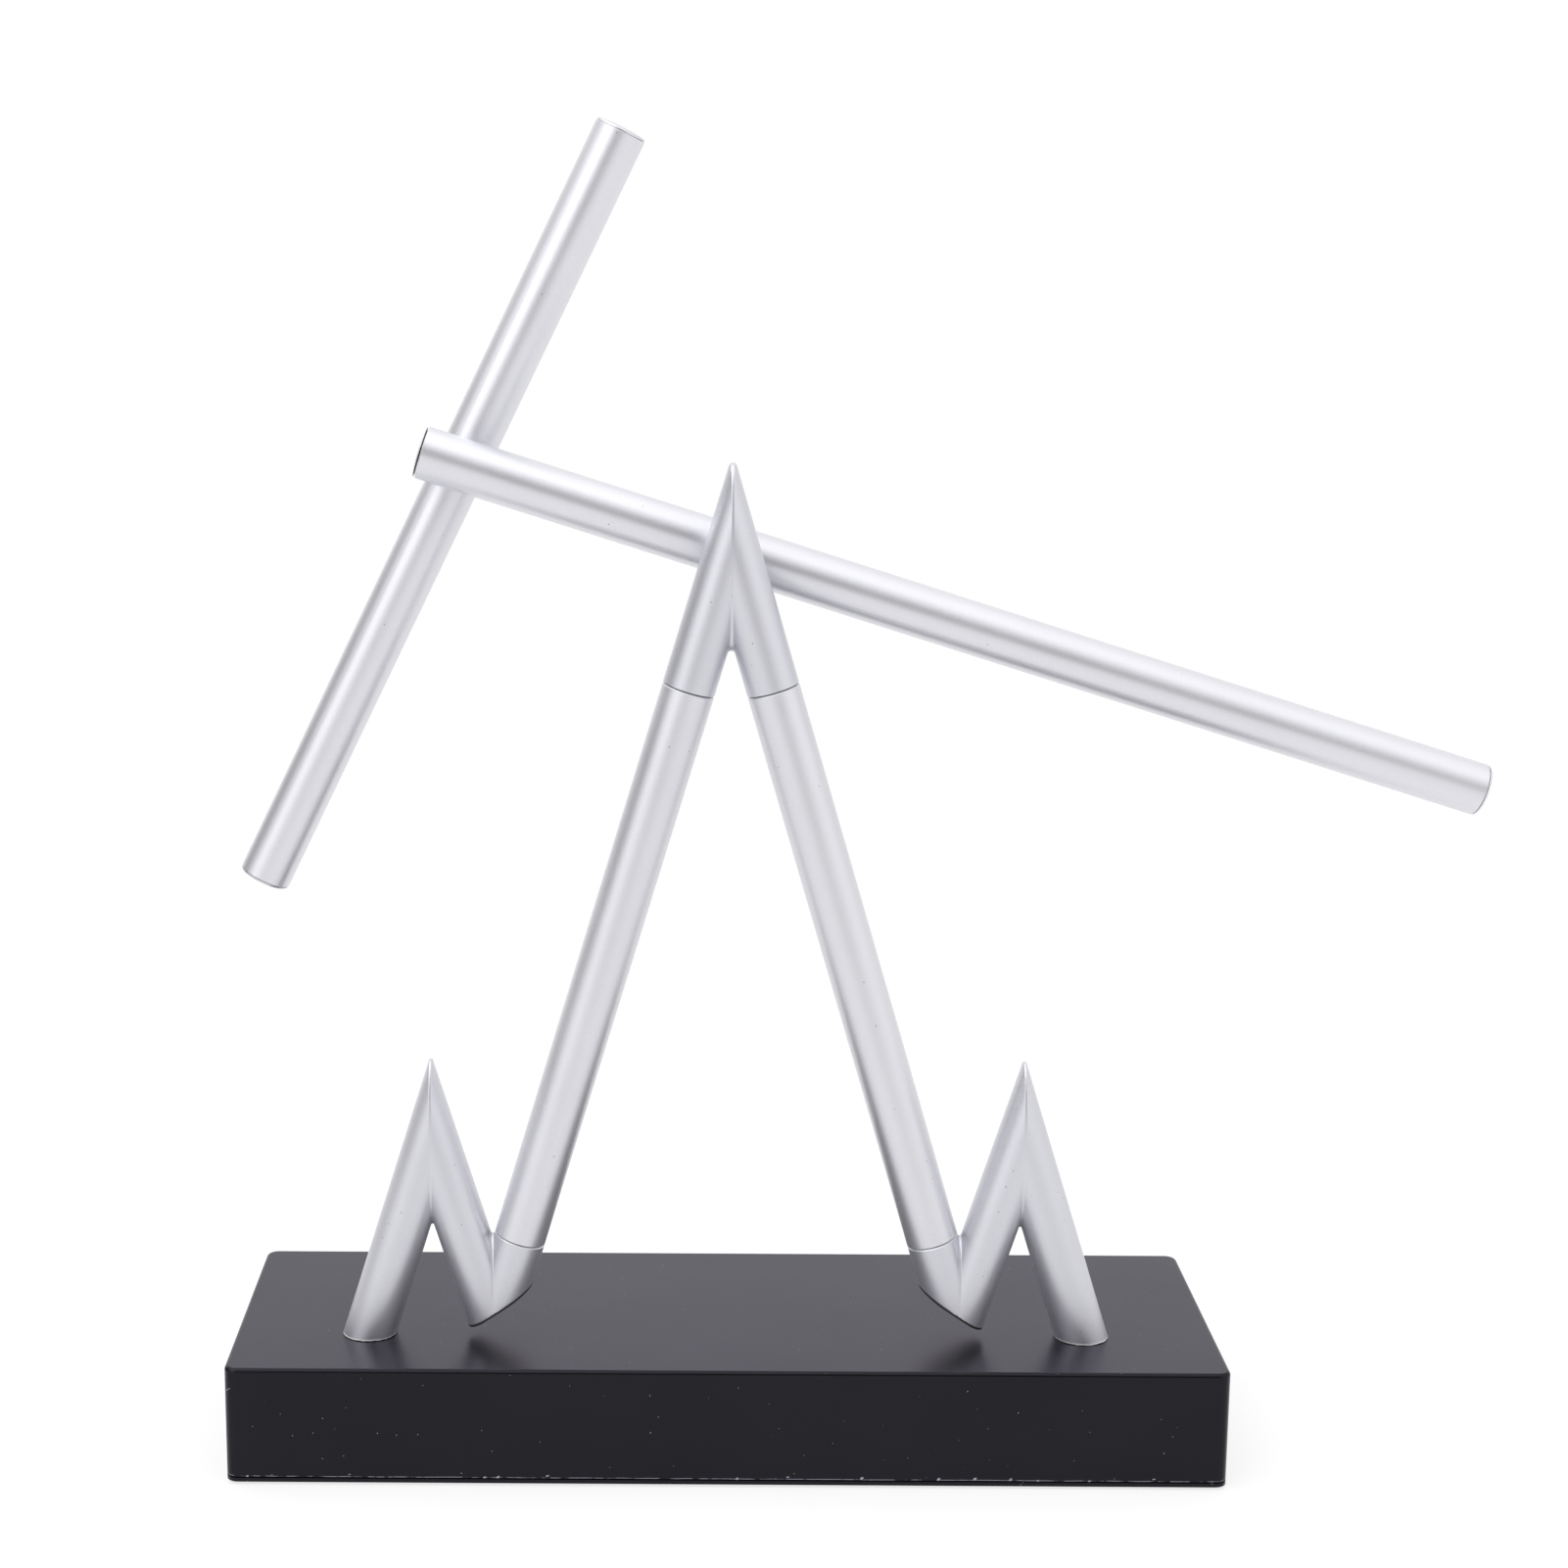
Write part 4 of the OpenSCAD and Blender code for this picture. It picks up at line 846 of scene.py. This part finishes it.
# The worn line: its height, its soft edges, how wide and how far it wanders, the size of the
# pieces it is broken into and the noise level from which they show, how strong it is and its
# grey
RIM_LINE = 0.1 * MM
RIM_FADE_IN = 0.04 * MM
RIM_FADE_OUT = 0.05 * MM
RIM_WANDER_SIZE = 3 * MM
RIM_WANDER_REACH = 0.25 * MM
RIM_PIECES = 1.6 * MM
RIM_WORN_FROM = 0.36
RIM_WORN_FADE = 0.2
RIM_WORN_SHARE = 0.8
RIM_WORN_LEVEL = 0.45
# Chips beside it: how far apart, their size in spacings, and how far under and over the rim
CHIP_SPACING = 3 * MM
CHIP_LEAST = 0.05
CHIP_SPREAD = 0.1
CHIP_EDGE = 0.03
CHIP_CHANCE = 0.4
CHIP_UNDER = 0.5 * MM
CHIP_OVER = 0.6 * MM
# Painted sheen: the base's top is lighter and more violet than its sides, for its low-angle shine
CASE_TOP_SHEEN_COLOUR = (0.056, 0.054, 0.068, 1)


def worn_rim(recipe, place, rim):
    """How worn the case is near the height of its rim, from 0 to 1: a thin line that wanders and
    is broken up by noise, and scattered chips just over and under it."""
    height = recipe.along(place, UPWARD) - rim
    wander = recipe.noise(place, RIM_WANDER_SIZE, detail=3) - 0.5
    on_line = height + RIM_WANDER_REACH * wander
    line = on_line.above(0, RIM_FADE_IN) * on_line.below(RIM_LINE, RIM_FADE_OUT)
    worn = line * recipe.noise(place, RIM_PIECES, detail=4).above(RIM_WORN_FROM, RIM_WORN_FADE)
    away, chance, size = recipe.dots(place, CHIP_SPACING, on_box=True)
    near_point = away.below(CHIP_LEAST + CHIP_SPREAD * size, CHIP_EDGE)
    chip = near_point * chance.above(1 - CHIP_CHANCE, CRISP)
    near_rim = height.above(-CHIP_UNDER, 0.1 * MM) * height.below(CHIP_OVER, 0.2 * MM)
    return recipe.math("MAXIMUM", worn, chip * near_rim)


def black(name, level, rough, grain, dust=0.0, rim=None, **sockets):
    """A black finish: clouds in the roughness, a fine grain, and scattered specks of pale dust,
    each with its own size and strength. Where rim gives a height, upright faces are worn there
    and the top gets CASE_TOP_SHEEN_COLOUR, a painted sheen that stands in for its shine."""
    recipe = Recipe(bpy.data.materials.new(name))
    place = recipe.place()
    cloud = recipe.noise(place, BLACK_CLOUD, detail=3)
    fine = recipe.noise(place, BLACK_GRAIN)
    away, chance, size = recipe.dots(place, DUST_SPACING, on_box=True)
    speck = away.below(DUST_LEAST + DUST_SPREAD * size, CRISP) * chance.above(1 - dust, dust + 0.001)
    dull, bright = level * (1 - BLACK_DRIFT), level * (1 + BLACK_DRIFT)
    base = recipe.mix(cloud, grey(dull, BLACK_BLUE), grey(bright, BLACK_BLUE))
    if rim is not None:
        facing_up = recipe.along(recipe.facing(), UPWARD)
        upright = 1 - (facing_up * facing_up).above(0.2, 0.3)
        worn = worn_rim(recipe, place, rim) * upright
        base = recipe.mix(RIM_WORN_SHARE * worn, base, grey(RIM_WORN_LEVEL, BLACK_BLUE))
        # Painted sheen on the upward faces
        base = recipe.mix(facing_up.above(0.9, 0.1), base, CASE_TOP_SHEEN_COLOUR)
    drift = BLACK_CLOUD_ROUGHNESS * (cloud - 0.5)
    return recipe.surface(
        Base_Color=recipe.mix(speck, base, grey(DUST_LEVEL)),
        Roughness=rough + drift + BLACK_GRAIN_ROUGHNESS * (fine - 0.5),
        Normal=recipe.bump(fine, grain),
        **sockets,
    )


pad_rubber = black("pad_rubber", level=0.02, rough=0.75, grain=0.02 * MM)
print("the pads' finish:", pad_rubber.name)

# %% [markdown]
# ## Rubber pads
#
# The base stands on five round rubber pads. Their lower edge is rounded, so only a thin shade
# shows between the base and the table. A cylinder with a Bevel modifier would do as well, but
# turning a profile is one line, now that it is there.

# %% Rubber pads
pad_r = 6.9 * MM
pad_h = 1.2 * MM
pad_round = 0.3 * MM
PAD_ROUND_STEPS = 7
PAD_POINTS = 64
pad_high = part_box("rubber_pads")[1]
pad_x, pad_y = pad_high[0] - pad_r, pad_high[1] - pad_r
pad_turn = np.linspace(0, pi / 2, PAD_ROUND_STEPS)
pad_profile = np.vstack([
    [(0.0, 0.0)],
    np.stack([pad_round * (1 - np.cos(pad_turn)), pad_r - pad_round * (1 - np.sin(pad_turn))], -1),
    [(pad_h, pad_r), (pad_h, 0.0)],
])
pad_spots = [(pad_x, pad_y), (-pad_x, pad_y), (-pad_x, -pad_y), (pad_x, -pad_y), (0, 0)]
pad_skins = [turned(pad_profile, [x, y, 0], UPWARD, PAD_POINTS) for x, y in pad_spots]
make_piece("pads", pad_skins, pad_rubber, BODY_OF_BASE, ["rubber_pads"])

# %% [markdown]
# ## Hardware
#
# The pieces inside the base and in the pivots are hardware: plated steel, brass, copper, nylon
# and a green board. They could all share one grey, because the photograph doesn't show them,
# but the toy is also looked at from below and from behind. So there are two kinds, bare metal
# and moulded pieces, and each piece's material is one of them with its own colour.

# %% Hardware finishes
TARNISH = 0.12
METAL_CLOUD = 5 * MM
METAL_GRAIN = 0.25 * MM
METAL_DEPTH = 0.003 * MM
MOULD_SHADE = 0.1
MOULD_CLOUD = 6 * MM
MOULD_GRAIN = 0.4 * MM
MOULD_DEPTH = 0.01 * MM
# How far the clouds or the grain move the roughness of both
HARDWARE_ROUGHNESS = 0.1


def darker(colour, share):
    """A colour made darker by a share of each channel."""
    return tuple(channel * (1 - share) for channel in colour) + (1,)


def metal(name, colour, rough):
    """Bare metal: clouds of tarnish darken it, and fine noise breaks its shine."""
    recipe = Recipe(bpy.data.materials.new(name))
    place = recipe.place()
    cloud = recipe.noise(place, METAL_CLOUD, detail=4)
    return recipe.surface(
        Base_Color=recipe.mix(cloud, darker(colour, TARNISH), (*colour, 1)),
        Metallic=1.0,
        Roughness=rough + HARDWARE_ROUGHNESS * (cloud - 0.5),
        Normal=recipe.bump(recipe.noise(place, METAL_GRAIN), METAL_DEPTH),
    )


def moulded(name, colour, rough):
    """A moulded or painted piece: its colour drifts a little and its skin has a fine grain."""
    recipe = Recipe(bpy.data.materials.new(name))
    place = recipe.place()
    cloud = recipe.noise(place, MOULD_CLOUD, detail=3)
    fine = recipe.noise(place, MOULD_GRAIN)
    return recipe.surface(
        Base_Color=recipe.mix(cloud, darker(colour, MOULD_SHADE), (*colour, 1)),
        Roughness=rough + HARDWARE_ROUGHNESS * (fine - 0.5),
        Normal=recipe.bump(fine, MOULD_DEPTH),
    )


hardware = [
    metal("plated_steel", (0.62, 0.62, 0.60), 0.3),
    metal("axle_steel", (0.60, 0.60, 0.62), 0.24),
    metal("cell_can", (0.66, 0.50, 0.24), 0.34),
    metal("contact_nickel", (0.70, 0.67, 0.60), 0.28),
    metal("enamel_copper", (0.72, 0.32, 0.14), 0.3),
    metal("core_iron", (0.36, 0.35, 0.34), 0.45),
    metal("bearing_steel", (0.66, 0.66, 0.67), 0.16),
    metal("cage_brass", (0.70, 0.52, 0.24), 0.3),
    metal("hub_brass", (0.72, 0.55, 0.26), 0.32),
    metal("magnet_nickel", (0.68, 0.66, 0.61), 0.18),
    moulded("lead_insulation", (0.45, 0.03, 0.03), 0.45),
    moulded("bobbin_nylon", (0.75, 0.73, 0.66), 0.5),
    moulded("block_nylon", (0.72, 0.71, 0.66), 0.5),
    moulded("board_green", (0.03, 0.20, 0.08), 0.35),
    moulded("component_black", (0.03, 0.03, 0.03), 0.5),
    moulded("capacitor_blue", (0.03, 0.06, 0.20), 0.35),
    moulded("resistor_tan", (0.55, 0.42, 0.26), 0.5),
]
print("hardware finishes:", len(hardware))

# %% [markdown]
# ## Dressing the pieces that keep their CAD mesh
#
# The base's lacquer shows the room with a violet cast where it is seen at a low angle. Only the
# metal side of the shader can tint that grazing shine, so the lacquer is set up as a very dark
# metal. Then each CAD material is swapped for the finish of the same name. That could be done
# piece by piece, but the names already say which piece is made of what.

# %% Dressing
def plain_name(material):
    """A material's name without the number that Blender adds to a name in use."""
    return material.name.split(".")[0]


case_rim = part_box("base_shell")[0][2] + 0.4 * MM
case_black = black(
    "case_black", level=0.0205, rough=0.31, grain=0.002 * MM, dust=0.25, rim=case_rim,
    Metallic=1.0, Specular_Tint=(0.98, 0.96, 1, 1)
)
finish_list = [case_black, pad_rubber, cast_silver, cap_silver, *hardware]
finishes = {plain_name(finish): finish for finish in finish_list}
finishes["tube_silver"] = stick_silver
dressed = 0
for node in frame["nodes"].values():
    for slot in node.material_slots:
        if plain_name(slot.material) in finishes:
            slot.material = finishes[plain_name(slot.material)]
            dressed += 1
print("nodes dressed:", dressed, "of", len(frame["nodes"]))

# %% [markdown]
# ## Floor and studio
#
# The toy stands in a white studio. The floor is white, and away from the toy it passes into
# the plain white background, so no horizon shows. A curved backdrop does that in a real studio.
# Here the floor's material does it: near the toy a part of it is paper that takes the toy's
# shadow, and further off it is all plain white light.

# %% Floor
FLOOR_HALF = 3.0
PAPER_LEVEL = 0.93
# The share of plain white in the floor under the toy, how far from the toy's middle it starts
# to grow, and over what distance it grows to 1, both in metres
WHITE_SHARE = 0.75
WHITE_FROM = 0.16
WHITE_OVER = 0.2
corners = [(x * FLOOR_HALF, y * FLOOR_HALF, 0) for x, y in ((-1, -1), (1, -1), (1, 1), (-1, 1))]
floor_mesh = bpy.data.meshes.new("floor")
floor_mesh.from_pydata(corners, [], [(0, 1, 2, 3)])
floor = bpy.data.objects.new("floor", floor_mesh)
bpy.context.scene.collection.objects.link(floor)

floor_white = bpy.data.materials.new("floor_white")
recipe = Recipe(floor_white)
away = recipe.node("ShaderNodeVectorMath", dict(operation="LENGTH"), {0: recipe.place()}, "Value")
paper = recipe.node("ShaderNodeBsdfDiffuse", sockets={"Color": grey(PAPER_LEVEL)})
glow = recipe.node("ShaderNodeEmission", sockets={"Color": grey(1.0), "Strength": 1.0})
glow_share = WHITE_SHARE + (1 - WHITE_SHARE) * away.above(WHITE_FROM, WHITE_OVER)
blend = recipe.node("ShaderNodeMixShader", sockets={0: glow_share, 1: paper, 2: glow})
recipe.output("ShaderNodeOutputMaterial", blend)
floor_mesh.materials.append(floor_white)
print("the floor is", 2 * FLOOR_HALF, "m wide")

# %% [markdown]
# ## Light
#
# Silver shows its surroundings and little else: the bands of light and shade along the tubes
# mirror soft boxes at the side and above, and the dimmer room on the camera's side. Area lamps
# would do too, but they show as hard-edged patches. So the studio is drawn as what a ball would
# mirror: a plain white room, large soft lamps up to the left, beside the camera and to the
# right, and two dim places, the camera itself and a dark screen to the left that draws the
# tubes' left edges. Each is a round glow that fades like a bell curve from its middle. The
# backdrop is plain white for the camera and for glass, and silver mirrors it as white too.

# %% Studio room
ROOM_LEVEL = 0.87
DARKEST = 0.02
# Each glow's degrees to the right of the camera, degrees up, spread in degrees and strength
GLOWS = {
    "upper left lamp": (-75, 59, 29, 1.65),
    "front left lamp": (-38, 27, 17, 1.1),
    "right lamp": (61, 21, 26, 0.37),
    "camera": (2, 16, 16, -1.45),
    "left screen": (-95, 3, 26, -1.35),
}


def studio_light(recipe, direction):
    """ROOM_LEVEL plus strength * exp((direction . middle - 1) / spread squared) for each glow,
    and nowhere under DARKEST."""
    level = ROOM_LEVEL
    for right, up, spread, strength in GLOWS.values():
        right, up, spread = radians(right), radians(up), radians(spread)
        middle_of_glow = (sin(right) * cos(up), -cos(right) * cos(up), sin(up))
        nearness = (recipe.along(direction, middle_of_glow) - 1) * (1 / spread ** 2)
        level = recipe.math("EXPONENT", nearness) * strength + level
    return recipe.math("MAXIMUM", level, DARKEST)


world = bpy.data.worlds.new("studio")
bpy.context.scene.world = world
recipe = Recipe(world)
direction = recipe.node("ShaderNodeTexCoord", out="Generated")
ray = recipe.add("ShaderNodeLightPath").outputs
seen = Wire(recipe, ray["Is Camera Ray"]) + Wire(recipe, ray["Is Transmission Ray"])
behind_toy = recipe.along(direction, (0, 1, 0)).above(0.5, 0.4)
backdrop = seen + Wire(recipe, ray["Is Glossy Ray"]) * behind_toy
strength = backdrop + (1 - backdrop) * studio_light(recipe, direction)
white_room = recipe.node("ShaderNodeBackground", sockets={"Color": grey(1.0), "Strength": strength})
recipe.output("ShaderNodeOutputWorld", white_room)
print("lamps and screens:", ", ".join(GLOWS))

# %% [markdown]
# ## Camera
#
# The camera stands where the photograph's did. It could be dragged about until the picture
# looks right, but then a wrong size could hide behind a wrong place. So its place and angles
# come from matching the toy's known corners with their places in the picture, and the shift is
# where the picture's middle lies beside the lens's axis. The angles are in radians.

# %% Camera
IMAGE = 1601
SENSOR = 36
focal_pixels = 2927
axis_pixel = (660.2, 818.5)
camera_place = Vector((-15.05, -679.9, 299.5)) * MM
yaw, pitch, roll = -0.007, 0.203, -0.003
ahead = Vector((sin(yaw) * cos(pitch), cos(yaw) * cos(pitch), -sin(pitch)))
right = Vector((cos(yaw), -sin(yaw), 0))
down = ahead.cross(right)
right, down = cos(roll) * right + sin(roll) * down, cos(roll) * down - sin(roll) * right
lens = bpy.data.cameras.new("camera")
lens.sensor_width = SENSOR
lens.lens = focal_pixels / IMAGE * SENSOR
lens.shift_x = (IMAGE / 2 - axis_pixel[0]) / IMAGE
lens.shift_y = (axis_pixel[1] - IMAGE / 2) / IMAGE
lens.clip_start = 0.01
camera = bpy.data.objects.new("camera", lens)
bpy.context.scene.collection.objects.link(camera)
turn = Matrix((right, -down, -ahead)).transposed()
camera.matrix_world = Matrix.Translation(camera_place) @ turn.to_4x4()
bpy.context.scene.camera = camera
bpy.context.scene.view_settings.view_transform = "Standard"
print("lens", round(lens.lens, 1), "mm, shift", round(lens.shift_x, 3), round(lens.shift_y, 3))

# %% [markdown]
# ## Size
#
# The dressed toy must be as large as the CAD model, because it takes the model's place.
